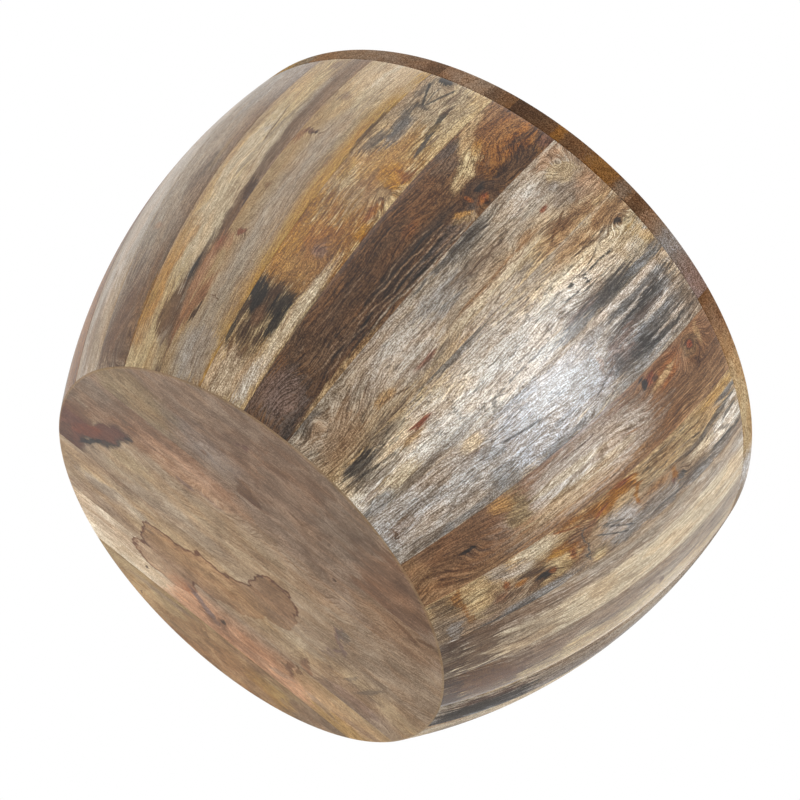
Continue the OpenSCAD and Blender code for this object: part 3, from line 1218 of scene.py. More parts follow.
STAVE_22 = Board(
    seed=122,
    shade=0.15,
    ground=(
        (-41, Tone.COFFEE),
        (-20, Tone.COFFEE),
        (4, Tone.COFFEE),
        (20, Tone.UMBER),
        (41, Tone.COFFEE),
    ),
    blots=(
        Blot(-33, 22, 9, 28, Tone.FAWN, 0.9),
        Blot(4, 6, 24, 52, Tone.COFFEE, 0.95, -6),
        Blot(2, 8, 20, 46, Tone.RUST, 0.6, -8),
        Blot(-6, 10, 9, 34, Tone.FAWN, 0.4, -8),
        Blot(8, -4, 34, 54, Tone.AMBER, 0.36),
        Blot(14, 14, 3, 40, Tone.UMBER, 0.7, -8),
        Blot(33, 28, 8, 12, Tone.PLUM, 0.7),
        Blot(32, -20, 10, 34, Tone.UMBER, 0.85),
        Blot(-36, -8, 6, 26, Tone.SAND, 0.9, 8),
        Blot(-26, -36, 9, 22, Tone.SAND, 0.92, 24),
        Blot(-8, -58, 10, 26, Tone.CREAM, 0.92, 14),
        Blot(2, -86, 5, 14, Tone.SAND, 0.85, 8),
        Blot(-14, -34, 5, 14, Tone.GOLD, 0.4, 14),
        Blot(-24, -76, 12, 22, Tone.BARK, 0.9),
        Blot(-34, -56, 6, 20, Tone.SLATE, 0.6),
        Blot(26, -78, 14, 19, Tone.UMBER, 0.95, 0, 0.6, 0.6),
        Blot(20, -74, 4, 8, Tone.INK),
        Blot(31, -83, 5, 9, Tone.RUST, 0.95),
        Blot(30, -80, 2.6, 5, Tone.EMBER, 0.9),
        Blot(20, -93, 5, 3, Tone.RUST, 0.95),
        Blot(-18, -130, 16, 36, Tone.COFFEE, 0.75),
        Blot(-6, -160, 6, 14, Tone.RUST, 0.45),
        Blot(-22, -235, 14, 56, Tone.COFFEE, 0.7),
        Blot(-8, -225, 20, 66, Tone.UMBER, 0.65),
        Blot(12, -190, 9, 70, Tone.INK, 0.6),
        Blot(30, -150, 8, 60, Tone.SLATE, 0.55),
        Blot(30, -115, 6, 12, Tone.SAND, 0.6, -30),
        Blot(26, -112, 3, 10, Tone.HONEY, 0.7, -30),
        Blot(-10, -310, 28, 44, Tone.BARK, 0.5),
        Blot(-14, -300, 18, 50, Tone.UMBER, 0.5),
        Blot(-4, -388, 38, 30, Tone.SLATE, 0.6),
        Blot(-8, -384, 24, 20, Tone.MAUVE, 0.7),
        Blot(33, -350, 5.5, 72, Tone.SAND, 0.85),
    ),
    eyes=(Eye(0, 8, 24, 62, 0.8, -8), Eye(27, -80, 14, 18), Eye(-8, -395, 20, 40, 0.7)),
    veins=(
        Vein(23, -106, -350, 1.6, 0.05, 5, Tone.INK, 0.85),
        Vein(10, -130, -330, 1.3, 0.05, 5, Tone.INK, 0.8),
        Vein(31, -110, -330, 1.3, 0.05, 4, Tone.INK, 0.8),
        Vein(-28, -120, -300, 1.0, 0.0, 6, Tone.INK, 0.5),
        Vein(-34, -90, -260, 1.2, 0.0, 5, Tone.UMBER, 0.6),
        Vein(27, -100, -350, 1.0, 0.07, 6, Tone.DUN, 0.9),
        Vein(19, -112, -360, 0.9, 0.06, 5, Tone.DUN, 0.9),
        Vein(34, -96, -290, 1.0, 0.05, 6, Tone.GREIGE, 0.7),
        Vein(14, -124, -330, 0.9, 0.05, 5, Tone.DUN, 0.9),
        Vein(6, -140, -300, 0.8, 0.04, 5, Tone.DUN, 0.7),
        Vein(-16, -220, -350, 0.8, 0.02, 5, Tone.DUN, 0.6),
    ),
    drift=10,
    lines=0.72,
    mottle=0.45,
    pores=0.6,
)
STAVE_23 = Board(
    seed=123,
    shade=0.12,
    ground=((-41, Tone.GREIGE), (0, Tone.GREIGE), (41, Tone.SAND)),
    blots=(
        Blot(0, 33, 44, 10, Tone.FAWN, 0.5),
        Blot(-14, 6, 14, 16, Tone.CREAM, 0.75),
        Blot(-32, 14, 8, 26, Tone.PEACH, 0.4),
        Blot(10, -6, 12, 20, Tone.LEAD, 0.5),
        Blot(-6, -16, 5, 10, Tone.PEWTER, 0.6),
        Blot(20, 20, 10, 18, Tone.PEACH, 0.5),
        Blot(-20, -48, 16, 34, Tone.LINEN, 0.6),
        Blot(3, -44, 2.2, 8, Tone.EMBER, 0.9),
        Blot(32, -14, 9, 18, Tone.FAWN, 0.8, -20),
        Blot(27, -48, 8, 26, Tone.COFFEE, 0.85, -20),
        Blot(-34, -130, 6, 44, Tone.SLATE, 0.6),
        Blot(0, 10, 46, 46, Tone.DUN, 0.35),
        Blot(36, -40, 4, 40, Tone.FAWN, 0.7),
        Blot(12, -88, 8, 12, Tone.FAWN, 0.6),
        Blot(22, -84, 5, 14, Tone.SAND, 0.6),
        Blot(-30, -140, 8, 36, Tone.SLATE, 0.6),
        Blot(-8, -140, 10, 40, Tone.TAUPE, 0.65),
        Blot(-16, -200, 12, 40, Tone.PEWTER, 0.6),
        Blot(0, -220, 5, 34, Tone.LEAD, 0.5),
        Blot(20, -150, 6, 70, Tone.CHALK, 0.75),
        Blot(32, -160, 6, 60, Tone.LINEN, 0.5),
        Blot(30, -110, 5, 24, Tone.TAUPE, 0.5),
        Blot(-4, -270, 30, 50, Tone.LINEN, 0.6),
        Blot(21, -258, 2.8, 15, Tone.EMBER, 0.75),
        Blot(26, -250, 4, 40, Tone.TAUPE, 0.5),
        Blot(15, -318, 6, 13, Tone.HONEY, 0.6),
        Blot(32, -345, 6, 44, Tone.TAUPE, 0.7),
        Blot(4, -378, 22, 30, Tone.FAWN, 0.5),
        Blot(-27, -392, 12, 20, Tone.SLATE, 0.6),
    ),
    eyes=(Eye(-12, 14, 16, 18), Eye(6, -378, 24, 50), Eye(12, -120, 8, 26, 0.8)),
    veins=(
        Vein(13, -60, -215, 1.6, 0.0, 4, Tone.FAWN, 0.92),
        Vein(17, -90, -200, 1.0, 0.0, 4, Tone.COFFEE, 0.80),
        Vein(-4, -100, -190, 1.3, 0.02, 5, Tone.UMBER, 0.80),
        Vein(-16, -105, -200, 1.6, 0.0, 4, Tone.TAUPE, 0.92),
        Vein(-34, -110, -230, 1.6, 0.0, 4, Tone.SLATE, 0.80),
        Vein(25, -25, -75, 1.4, -0.35, 3, Tone.COFFEE, 0.92),
        Vein(21, -290, -330, 1.2, 0.3, 3, Tone.COFFEE, 0.80),
        Vein(-4, -300, -350, 0.9, -0.4, 3, Tone.DUN, 0.80),
    ),
    heart=Heart(60, 14, 0.08),
    lines=0.42,
    spalt=0.45,
)
STAVE_24 = Board(
    seed=124,
    ground=(
        (-41, Tone.GREIGE),
        (-30, Tone.SAND),
        (-12, Tone.CHALK),
        (12, Tone.BONE),
        (26, Tone.GREIGE),
        (41, Tone.GREIGE),
    ),
    blots=(
        Blot(0, 18, 46, 34, Tone.OLIVE, 0.6),
        Blot(10, -30, 40, 46, Tone.SAND, 0.5, soft=0.5),
        Blot(-14, -190, 26, 70, Tone.LINEN, 0.6),
        Blot(-30, -40, 10, 50, Tone.FAWN, 0.5),
        # Partly painted sheen: the bone and ash blots over the middle are pale wood, whitened further
        # where the glare lamp's highlight lies.
        Blot(20, -215, 26, 95, Tone.BONE, 0.85),
        Blot(0, -190, 44, 90, Tone.ASH, 0.35, soft=0.6),
        Blot(6, -110, 16, 60, Tone.LINEN, 0.6),
        Blot(-27, 18, 16, 40, Tone.FAWN),
        Blot(-30, 26, 6, 18, Tone.COFFEE, 0.5),
        Blot(-6, 28, 10, 16, Tone.OLIVE, 0.5),
        Blot(16, 28, 18, 12, Tone.STRAW, 0.5),
        Blot(34, 30, 8, 14, Tone.TAUPE, 0.7),
        Blot(-15, 22, 4, 18, Tone.COFFEE, 0.7),
        Blot(-15, 12, 7, 11, Tone.COFFEE, 0.7, 0, 0.6, 0.3),
        Blot(-15, 12, 3.2, 7, Tone.INK, 0.9),
        Blot(-16, -14, 4, 14, Tone.TAUPE, 0.7, 8),
        Blot(-20, -34, 3, 14, Tone.COFFEE, 0.6, -8),
        Blot(30, -58, 11, 62, Tone.SLATE, 0.9, soft=0.5),
        Blot(30, -62, 5, 46, Tone.INK, 0.55),
        Blot(36, -20, 5, 30, Tone.INK, 0.5),
        Blot(35, 4, 6, 30, Tone.LEAD),
        Blot(19, -66, 4, 34, Tone.TAUPE, 0.6),
        Blot(24, -100, 4, 24, Tone.MAUVE, 0.6),
        Blot(33, -115, 7, 30, Tone.LEAD, 0.75),
        Blot(-2, -88, 2.4, 4, Tone.INK, 0.9),
        Blot(5, -70, 4, 1.3, Tone.INK, 0.9),
        Blot(-37, -235, 4.5, 60, Tone.SLATE, 0.7),
        Blot(-30, -140, 6, 40, Tone.GREIGE, 0.6),
        Blot(-6, -300, 24, 30, Tone.LINEN, 0.6),
        Blot(10, -257, 15, 1.8, Tone.DUN, 0.6, 0, 0.5),
        Blot(26, -300, 6, 40, Tone.PEWTER, 0.5),
        Blot(-10, -312, 2.8, 13, Tone.EMBER, 0.95),
        Blot(-3, -328, 3, 14, Tone.STRAW, 0.6),
        Blot(-15, -384, 13, 24, Tone.SLATE, 0.85, 0, 1.2, soft=0.5),
        Blot(-20, -386, 5, 22, Tone.INK, 0.65, 8),
        Blot(-27, -360, 5, 24, Tone.INK, 0.5),
        Blot(-25, -340, 8, 20, Tone.TAUPE, 0.75),
        Blot(2, -374, 5, 26, Tone.TAUPE, 0.7),
        Blot(10, -386, 3, 20, Tone.COFFEE, 0.6),
        Blot(16, -362, 8, 26, Tone.CREAM, 0.6),
        Blot(28, -350, 4, 34, Tone.TAUPE, 0.7),
        Blot(24, -394, 8, 18, Tone.PEWTER, 0.7),
    ),
    eyes=(Eye(-15, 12, 9, 16),),
    veins=(
        Vein(2, -12, -76, 1.2, 0.04, 5, Tone.INK, 0.92),
        Vein(6, -60, -112, 1.0, 0.05, 4, Tone.INK, 0.86),
        Vein(-6, -20, -80, 0.9, -0.12, 5, Tone.UMBER, 0.80),
        Vein(10, -30, -96, 0.8, 0.08, 6, Tone.INK, 0.70),
        Vein(-20, -24, -70, 1.2, 0.1, 4, Tone.UMBER, 0.80),
        Vein(-30, 10, -60, 1.0, 0.0, 4, Tone.COFFEE, 0.70),
        Vein(14, -110, -200, 0.9, 0.0, 5, Tone.TAUPE, 0.80),
        Vein(-26, -110, -170, 1.0, 0.0, 4, Tone.TAUPE, 0.80),
        Vein(22, -150, -250, 1.0, 0.0, 5, Tone.SLATE, 0.69),
        Vein(24, -6, -120, 1.3, 0.0, 3, Tone.INK, 0.69),
        Vein(-8, -340, -400, 1.6, 0.1, 4, Tone.INK, 0.69),
    ),
    lines=0.34,
    pores=0.55,
    spalt=0.6,
)
STAVE_25 = Board(
    seed=125,
    shade=0.2,
    ground=((-41, Tone.LINEN), (0, Tone.ASH), (41, Tone.GREIGE)),
    blots=(
        Blot(-14, 30, 30, 14, Tone.SAND, 0.7),
        Blot(22, 28, 16, 12, Tone.DUN, 0.6),
        Blot(0, 20, 44, 16, Tone.TAUPE, 0.7),
        Blot(0, -50, 42, 76, Tone.TAUPE, 0.55),
        Blot(-28, -26, 9, 54, Tone.SLATE, 0.9),
        Blot(-13, -34, 9, 60, Tone.SLATE, 0.9, 3),
        Blot(-20, -40, 4, 44, Tone.INK, 0.55),
        Blot(-8, -44, 4, 44, Tone.UMBER, 0.6),
        Blot(6, -36, 5, 52, Tone.LEAD),
        Blot(14, -56, 9, 60, Tone.SLATE, 0.9, -3),
        Blot(27, -44, 9, 64, Tone.SLATE, 0.9),
        Blot(18, -70, 5, 48, Tone.INK, 0.65),
        Blot(27, -30, 3, 40, Tone.INK, 0.5),
        Blot(2, -84, 14, 24, Tone.MAUVE, 0.7, 14, 1.2),
        Blot(14, -104, 8, 14, Tone.SLATE, 0.7, 20),
        Blot(34, -80, 6, 50, Tone.PEWTER),
        Blot(-1, -12, 2.6, 44, Tone.LINEN, 0.7, 2),
        Blot(21, -8, 2.0, 34, Tone.LINEN, 0.6),
        Blot(32, -20, 2.2, 44, Tone.LINEN, 0.55),
        Blot(-22, -66, 2.4, 30, Tone.LINEN, 0.6, -4),
        Blot(-36, -40, 4, 50, Tone.LINEN),
        Blot(-18, -106, 14, 9, Tone.LINEN, 0.55, -40),
        Blot(-12, -112, 9, 12, Tone.LINEN, 0.6, 16),
        Blot(0, -119, 10, 5, Tone.PEACH, 0.5),
        Blot(8, -108, 5, 6, Tone.MAUVE, 0.6),
        Blot(14, -116, 5, 14, Tone.TAUPE, 0.6, 30),
        Blot(18, -130, 7, 20, Tone.MAUVE, 0.6, 22),
        Blot(28, -146, 8, 24, Tone.PEWTER),
        Blot(-30, -110, 8, 20, Tone.PEWTER, 0.6),
        Blot(24, -164, 12, 14, Tone.CHALK, 0.7),
        # Painted sheen: the pale bluish blot and the faint bone blot over the middle stand in for the
        # glare lamp's highlight on the silver wood.
        Blot(0, -200, 46, 72, Tone.PAINTED_SHEEN, 0.95),
        Blot(-6, -186, 20, 46, Tone.BONE, 0.3),
        Blot(34, -205, 6, 34, Tone.SLATE, 0.6),
        Blot(10, -276, 30, 14, Tone.PEWTER, 0.7),
        Blot(30, -285, 8, 34, Tone.LEAD, 0.6),
        Blot(-28, -284, 9, 14, Tone.CHALK, 0.9),
        Blot(-19, -290, 3.5, 12, Tone.MAUVE, 0.7),
        Blot(-12, -276, 3, 12, Tone.TAUPE, 0.6, 20),
        Blot(-4, -340, 34, 50, Tone.LINEN, 0.45),
        Blot(14, -328, 4, 28, Tone.TAUPE, 0.6),
        Blot(28, -340, 5, 40, Tone.LEAD, 0.7),
        Blot(-12, -362, 4, 30, Tone.TAUPE, 0.7),
        Blot(24, -384, 6, 24, Tone.TAUPE, 0.7),
        Blot(-4, -390, 8, 20, Tone.DUN, 0.6),
        Blot(0, -401, 14, 1.4, Tone.COFFEE, 0.8, 0, 0.4),
    ),
    veins=(
        Vein(-4, -205, -262, 1.4, 0.16, 2, Tone.SLATE, 0.85),
        Vein(-16, 10, -80, 1.2, 0.0, 4, Tone.INK, 0.6),
        Vein(12, 20, -80, 1.2, 0.0, 4, Tone.INK, 0.6),
        Vein(2, -20, -100, 1.0, 0.0, 4, Tone.PEWTER, 0.7),
        Vein(-24, 0, -90, 1.0, 0.0, 4, Tone.LINEN, 0.6),
        Vein(17, -96, -150, 1.0, -0.3, 3, Tone.SLATE, 0.8),
        Vein(-18, -300, -400, 0.9, 0.0, 4, Tone.TAUPE, 0.6),
        Vein(6, -300, -400, 0.9, 0.0, 4, Tone.TAUPE, 0.6),
    ),
    drift=10,
    lines=0.36,
    mottle=0.45,
    spalt=0.5,
)
STAVE_26 = Board(
    seed=126,
    shade=0.1,
    ground=((-41, Tone.CHESTNUT), (0, Tone.CHESTNUT), (41, Tone.FAWN)),
    blots=(
        Blot(8, 0, 34, 64, Tone.COFFEE, 0.6),
        Blot(0, -84, 36, 36, Tone.COFFEE, 0.55),
        Blot(0, -206, 30, 92, Tone.LINEN, 0.95, soft=0.5),
        Blot(8, -190, 6, 66, Tone.CHALK, 0.6),
        Blot(-10, -220, 5, 50, Tone.CHALK, 0.6),
        Blot(-2, -170, 3, 50, Tone.DUN, 0.5),
        Blot(16, -235, 10, 60, Tone.SAND, 0.6),
        Blot(36, -170, 4, 120, Tone.CHESTNUT, 0.6),
        Blot(-25, -6, 15, 19, Tone.FAWN, 0.5, 0, 0.4),
        Blot(-24, -6, 12, 15, Tone.INK, 0.9, 0, 0.35),
        Blot(-24, -6, 9.5, 12, Tone.FAWN, 0.85, 0, 0.35),
        Blot(-24, -6, 7, 9, Tone.UMBER, 1.0, 0, 0.35),
        Blot(-24, -6, 4, 5, Tone.EMBER, 0.95, 0, 0.4),
        Blot(-24, 13, 14, 3.5, Tone.SAND, 0.5, 0, 0.6),
        Blot(-27, -46, 9, 26, Tone.RUST, 0.65),
        Blot(-34, -60, 4, 18, Tone.COFFEE, 0.85),
        Blot(-20, -58, 4, 20, Tone.SAND, 0.75, 12),
        Blot(-14, -48, 3, 22, Tone.RUST, 0.6, 12),
        Blot(-29, -76, 6, 8, Tone.EMBER, 0.85),
        Blot(-31, -86, 7, 4.5, Tone.INK, 0.95),
        Blot(-26, -70, 3, 6, Tone.UMBER, 0.9),
        Blot(-8, -282, 26, 18, Tone.OLIVE, 0.85),
        Blot(-24, -296, 10, 16, Tone.HONEY, 0.6),
        Blot(0, -345, 38, 44, Tone.COFFEE, 0.45),
        Blot(-14, -332, 13, 18, Tone.COFFEE, 0.5),
        Blot(-3, -350, 1.7, 12, Tone.INK, 0.9),
        Blot(-10, -378, 20, 16, Tone.COFFEE, 0.55),
        Blot(0, -406, 34, 12, Tone.FAWN, 0.7),
    ),
    eyes=(
        Eye(-24, -6, 17, 21, 1.5),
        Eye(-14, -168, 14, 62),
        Eye(-14, -330, 16, 44, 0.8),
        Eye(-4, -390, 22, 40, 0.8),
        Eye(-28, -66, 12, 24, 1.1),
    ),
    veins=(
        Vein(28, 20, -200, 0.8, 0.0, 3, Tone.COFFEE, 0.7),
        Vein(35, -20, -300, 0.8, 0.02, 3, Tone.COFFEE, 0.7),
        Vein(22, 30, -110, 0.7, 0.0, 3, Tone.COFFEE, 0.6),
        Vein(-27, -110, -230, 0.8, -0.03, 3, Tone.PLUM, 0.7),
        Vein(-20, -115, -200, 0.7, -0.05, 3, Tone.PLUM, 0.6),
        Vein(8, -130, -240, 0.7, 0.03, 3, Tone.FAWN, 0.7),
        Vein(24, -140, -290, 0.8, 0.02, 3, Tone.FAWN, 0.7),
    ),
    drift=6,
    lines=0.45,
    mottle=0.25,
    pores=0.4,
    ragged=10,
)
STAVE_27 = Board(
    seed=127,
    shade=0.26,
    ground=((-41, Tone.SAND), (-18, Tone.SAND), (6, Tone.DRIFT), (41, Tone.DRIFT)),
    blots=(
        Blot(12, 4, 14, 40, Tone.BONE, 1.0, fray=0.6),
        Blot(-10, 22, 5, 20, Tone.BONE, 0.85),
        Blot(8, -42, 7, 24, Tone.CHALK, 0.92),
        Blot(-22, 18, 5, 26, Tone.LEAD, 0.9),
        Blot(-10, -6, 4, 40, Tone.SLATE, 0.85, 6),
        Blot(1, 14, 2.6, 20, Tone.SLATE, 0.85, 10),
        Blot(16, 4, 3, 14, Tone.SLATE, 0.7, -20),
        Blot(27, -2, 5, 30, Tone.SLATE),
        Blot(-3, -48, 4, 26, Tone.SLATE),
        Blot(34, -34, 7, 60, Tone.PEWTER, 0.85),
        Blot(26, -62, 7, 30, Tone.SLATE, 0.6),
        Blot(-32, 4, 6, 44, Tone.STRAW, 0.7),
        Blot(-20, -80, 14, 60, Tone.OLIVE, 0.6),
        Blot(0, -110, 40, 60, Tone.DUN, 0.4),
        Blot(-12, -96, 5, 30, Tone.CREAM, 0.6),
        Blot(16, -82, 5, 9, Tone.SLATE, 0.95),
        Blot(7, -92, 9, 5, Tone.AMBER, 0.92),
        Blot(14, -97, 4, 3, Tone.EMBER),
        Blot(2, -118, 5, 18, Tone.FAWN, 0.85),
        Blot(24, -122, 16, 32, Tone.PEWTER, 0.75),
        Blot(8, -178, 18, 32, Tone.ASH, 0.75),
        Blot(28, -170, 10, 30, Tone.PEWTER, 0.7),
        Blot(-14, -147, 22, 5, Tone.AMBER, 0.95),
        Blot(-29, -165, 9, 22, Tone.AMBER, 1.0, fray=0.6),
        Blot(-34, -168, 3, 18, Tone.EMBER),
        Blot(-24, -198, 10, 28, Tone.AMBER, 0.95, fray=0.6),
        Blot(-16, -210, 3, 22, Tone.EMBER, 0.8, 20),
        Blot(-12, -226, 12, 18, Tone.CHESTNUT, 0.85),
        Blot(-33, -245, 6, 26, Tone.AMBER),
        Blot(-24, -256, 6, 18, Tone.SAND, 0.7),
        Blot(30, -214, 7, 10, Tone.CREAM, 0.85),
        Blot(10, -229, 26, 1.8, Tone.SLATE, 0.9, 0, 0.7),
        Blot(8, -240, 20, 8, Tone.CHESTNUT, 0.6),
        Blot(6, -268, 19, 30, Tone.AMBER, 0.95, 0, 0.5, soft=0.15),
        Blot(8, -270, 15, 26, Tone.CREAM, 0.95, 0, 0.5),
        Blot(5, -246, 8, 4, Tone.RUST, 0.9),
        Blot(16, -258, 6, 12, Tone.OLIVE, 0.7),
        Blot(-6, -262, 4, 14, Tone.GOLD, 0.8, -10),
        Blot(8, -282, 8, 15, Tone.COFFEE, 0.95, 0, 0.5),
        Blot(9, -284, 5, 10, Tone.INK, 0.95),
        Blot(-3, -298, 5, 18, Tone.UMBER, 0.85, -14),
        Blot(10, -273, 3, 4, Tone.RUST, 0.9),
        Blot(16, -300, 4, 14, Tone.COFFEE, 0.85, 10),
        Blot(2, -312, 4, 10, Tone.AMBER, 0.9),
        Blot(-5, -327, 8, 4.5, Tone.RUST, 0.9),
        Blot(7, -336, 6, 9, Tone.RUST, 0.85),
        Blot(11, -318, 4, 12, Tone.COFFEE, 0.85),
        Blot(-28, -288, 11, 28, Tone.CHALK, 0.9),
        Blot(-16, -312, 8, 22, Tone.LINEN, 0.6),
        Blot(20, -350, 20, 50, Tone.DUN, 0.5),
        Blot(-28, -330, 10, 14, Tone.PEWTER, 0.6),
        Blot(30, -300, 7, 56, Tone.PEWTER, 0.85),
        Blot(34, -345, 5, 50, Tone.SLATE, 0.7),
        Blot(-6, -362, 22, 14, Tone.CREAM, 0.85),
        Blot(-16, -380, 16, 3.5, Tone.AMBER, 0.7),
        Blot(8, -374, 10, 3.5, Tone.AMBER, 0.6, 20),
        Blot(0, -403, 36, 14, Tone.TAUPE, 0.65),
        Blot(18, -392, 10, 12, Tone.PEWTER, 0.6),
    ),
    eyes=(Eye(10, -88, 10, 12, 0.9), Eye(8, -284, 14, 34, 0.9)),
    veins=(
        Vein(-26, -30, -145, 1.3, 0.02, 4, Tone.COFFEE, 0.86),
        Vein(-16, -20, -140, 1.3, 0.03, 4, Tone.TAUPE, 0.86),
        Vein(-34, -50, -145, 1.2, 0.0, 4, Tone.TAUPE, 0.80),
        Vein(-7, -60, -140, 1.3, 0.04, 4, Tone.TAUPE, 0.80),
        Vein(12, -160, -204, 1.3, 0.62, 3, Tone.SLATE, 0.95),
        Vein(16, -168, -216, 1.2, 0.55, 3, Tone.SLATE, 0.95),
        Vein(2, -170, -206, 1.0, 0.4, 3, Tone.SLATE, 0.80),
        Vein(-28, -225, -262, 1.4, 0.3, 3, Tone.RUST, 0.92),
        Vein(26, 34, -30, 1.6, 0.1, 3, Tone.INK, 0.80),
        Vein(30, -50, -140, 1.3, 0.0, 4, Tone.SLATE, 0.80),
    ),
    drift=12,
    mottle=0.4,
    pores=0.45,
    spalt=0.5,
    ragged=16,
)
STAVE_28 = Board(
    seed=128,
    shade=0.06,
    ground=((-41, Tone.GREIGE), (-22, Tone.LINEN), (-6, Tone.CHALK), (41, Tone.CHALK)),
    blots=(
        Blot(-28, -150, 14, 120, Tone.GREIGE, 0.85, soft=0.5),
        Blot(-18, -240, 10, 80, Tone.DUN, 0.6),
        Blot(0, -320, 46, 44, Tone.DUN, 0.5, soft=0.5),
        Blot(-24, -320, 12, 50, Tone.DUN, 0.7),
        # Painted shade: the bark and umber blots at the foot darken the stave where it meets the base.
        Blot(-2, -372, 46, 38, Tone.BARK, 0.95),
        Blot(0, -408, 50, 18, Tone.UMBER, 0.75),
        Blot(14, -350, 3, 26, Tone.CHALK, 0.6, -14),
    ),
    veins=(
        Vein(-16, -200, -300, 1.0, 0.0, 4, Tone.TAUPE, 0.6),
        Vein(-24, -110, -230, 1.0, 0.0, 4, Tone.TAUPE, 0.6),
        Vein(4, -310, -400, 1.0, -0.1, 4, Tone.TAUPE, 0.6),
    ),
    lines=0.34,
    mottle=0.2,
    pores=0.24,
)
STAVE_29 = Board(
    seed=129,
    shade=0.06,
    ground=((-41, Tone.GREIGE), (-6, Tone.GREIGE), (8, Tone.CREAM), (41, Tone.CREAM)),
    blots=(
        Blot(0, 6, 46, 46, Tone.DUN, 0.28, soft=0.6),
        Blot(7, -10, 3.5, 32, Tone.TAUPE, 0.75),
        Blot(-4, -62, 4, 16, Tone.TAUPE),
        Blot(-1, -92, 2.4, 26, Tone.TAUPE, 0.7),
        Blot(0, -118, 7, 5, Tone.COFFEE, 0.85),
        Blot(-24, -180, 14, 120, Tone.DUN, 0.4),
        Blot(-4, -220, 4, 40, Tone.TAUPE, 0.6),
        Blot(-8, -310, 24, 64, Tone.DUN, 0.9, fray=0.6),
        Blot(-10, -190, 12, 60, Tone.DUN, 0.5),
        Blot(6, -30, 5, 40, Tone.DUN, 0.7),
        # Painted shade: the bark, coffee and umber blots at the foot darken the stave where it meets the
        # base.
        Blot(0, -370, 50, 44, Tone.BARK, 0.7),
        Blot(0, -360, 24, 44, Tone.COFFEE),
        Blot(-8, -366, 44, 54, Tone.COFFEE, 0.95),
        Blot(26, -370, 16, 40, Tone.DUN, 0.6),
        Blot(0, -408, 46, 18, Tone.UMBER, 0.75),
    ),
    lines=0.3,
    pores=0.28,
)
STAVE_30 = Board(
    seed=130,
    shade=-0.1,
    ground=((-41, Tone.GREIGE), (-10, Tone.GREIGE), (41, Tone.PEWTER)),
    blots=(
        Blot(0, 10, 50, 52, Tone.TAUPE, 1.0, soft=0.6),
        Blot(0, -245, 46, 65, Tone.BARK, 0.45),
        # Painted shade: the ink blot low on the stave darkens it towards the base.
        Blot(8, -350, 34, 76, Tone.INK, 0.9),
        Blot(-35, -340, 5, 70, Tone.SAND, 0.5),
        Blot(-16, -350, 7, 55, Tone.PLUM, 0.4),
    ),
    lines=0.35,
)
STAVE_WOODS: dict[int, Board] = {
    17: STAVE_17,
    18: STAVE_18,
    19: STAVE_19,
    20: STAVE_20,
    21: STAVE_21,
    22: STAVE_22,
    23: STAVE_23,
    24: STAVE_24,
    25: STAVE_25,
    26: STAVE_26,
    27: STAVE_27,
    28: STAVE_28,
    29: STAVE_29,
    30: STAVE_30,
}

BASE_1 = BaseBoard(
    seed=201,
    ground=((-270, Tone.DUN), (-125, Tone.DUN)),
    blots=(
        Blot(-150, -180, 30, 60, Tone.OLIVE, 0.6),
        Blot(-160, -85, 22, 44, Tone.PEWTER, 0.25, soft=0.5),
        Blot(-200, 10, 60, 70, Tone.CHESTNUT, 0.35, soft=0.5),
        Blot(-138, -20, 13, 18, Tone.COFFEE, 0.7),
        Blot(-144, -6, 8, 26, Tone.COFFEE, 0.45, 30),
        Blot(-196, -60, 20, 70, Tone.COFFEE, 0.3, 16),
        Blot(-228, 40, 16, 40, Tone.COFFEE, 0.4, 12),
        Blot(-172, 176, 60, 56, Tone.CHESTNUT, 0.85),
        Blot(-158, 214, 12, 40, Tone.COFFEE, 0.6, 20),
        Blot(-200, 100, 60, 40, Tone.TAUPE, 0.4),
        Blot(-215, -12, 50, 1.6, Tone.CHESTNUT, 0.7, 0, 0.3),
        Blot(-213, -34, 5, 5, Tone.PLUM, 0.7),
        Blot(-209, -44, 4, 3, Tone.PLUM, 0.6),
        Blot(-178, -58, 3, 3, Tone.COFFEE, 0.6),
        Blot(-157, 78, 3, 3, Tone.COFFEE, 0.6),
        Blot(-150, -80, 3, 5, Tone.CHESTNUT, 0.7),
    ),
    drift=14,
    lines=0.18,
    mottle=0.62,
)
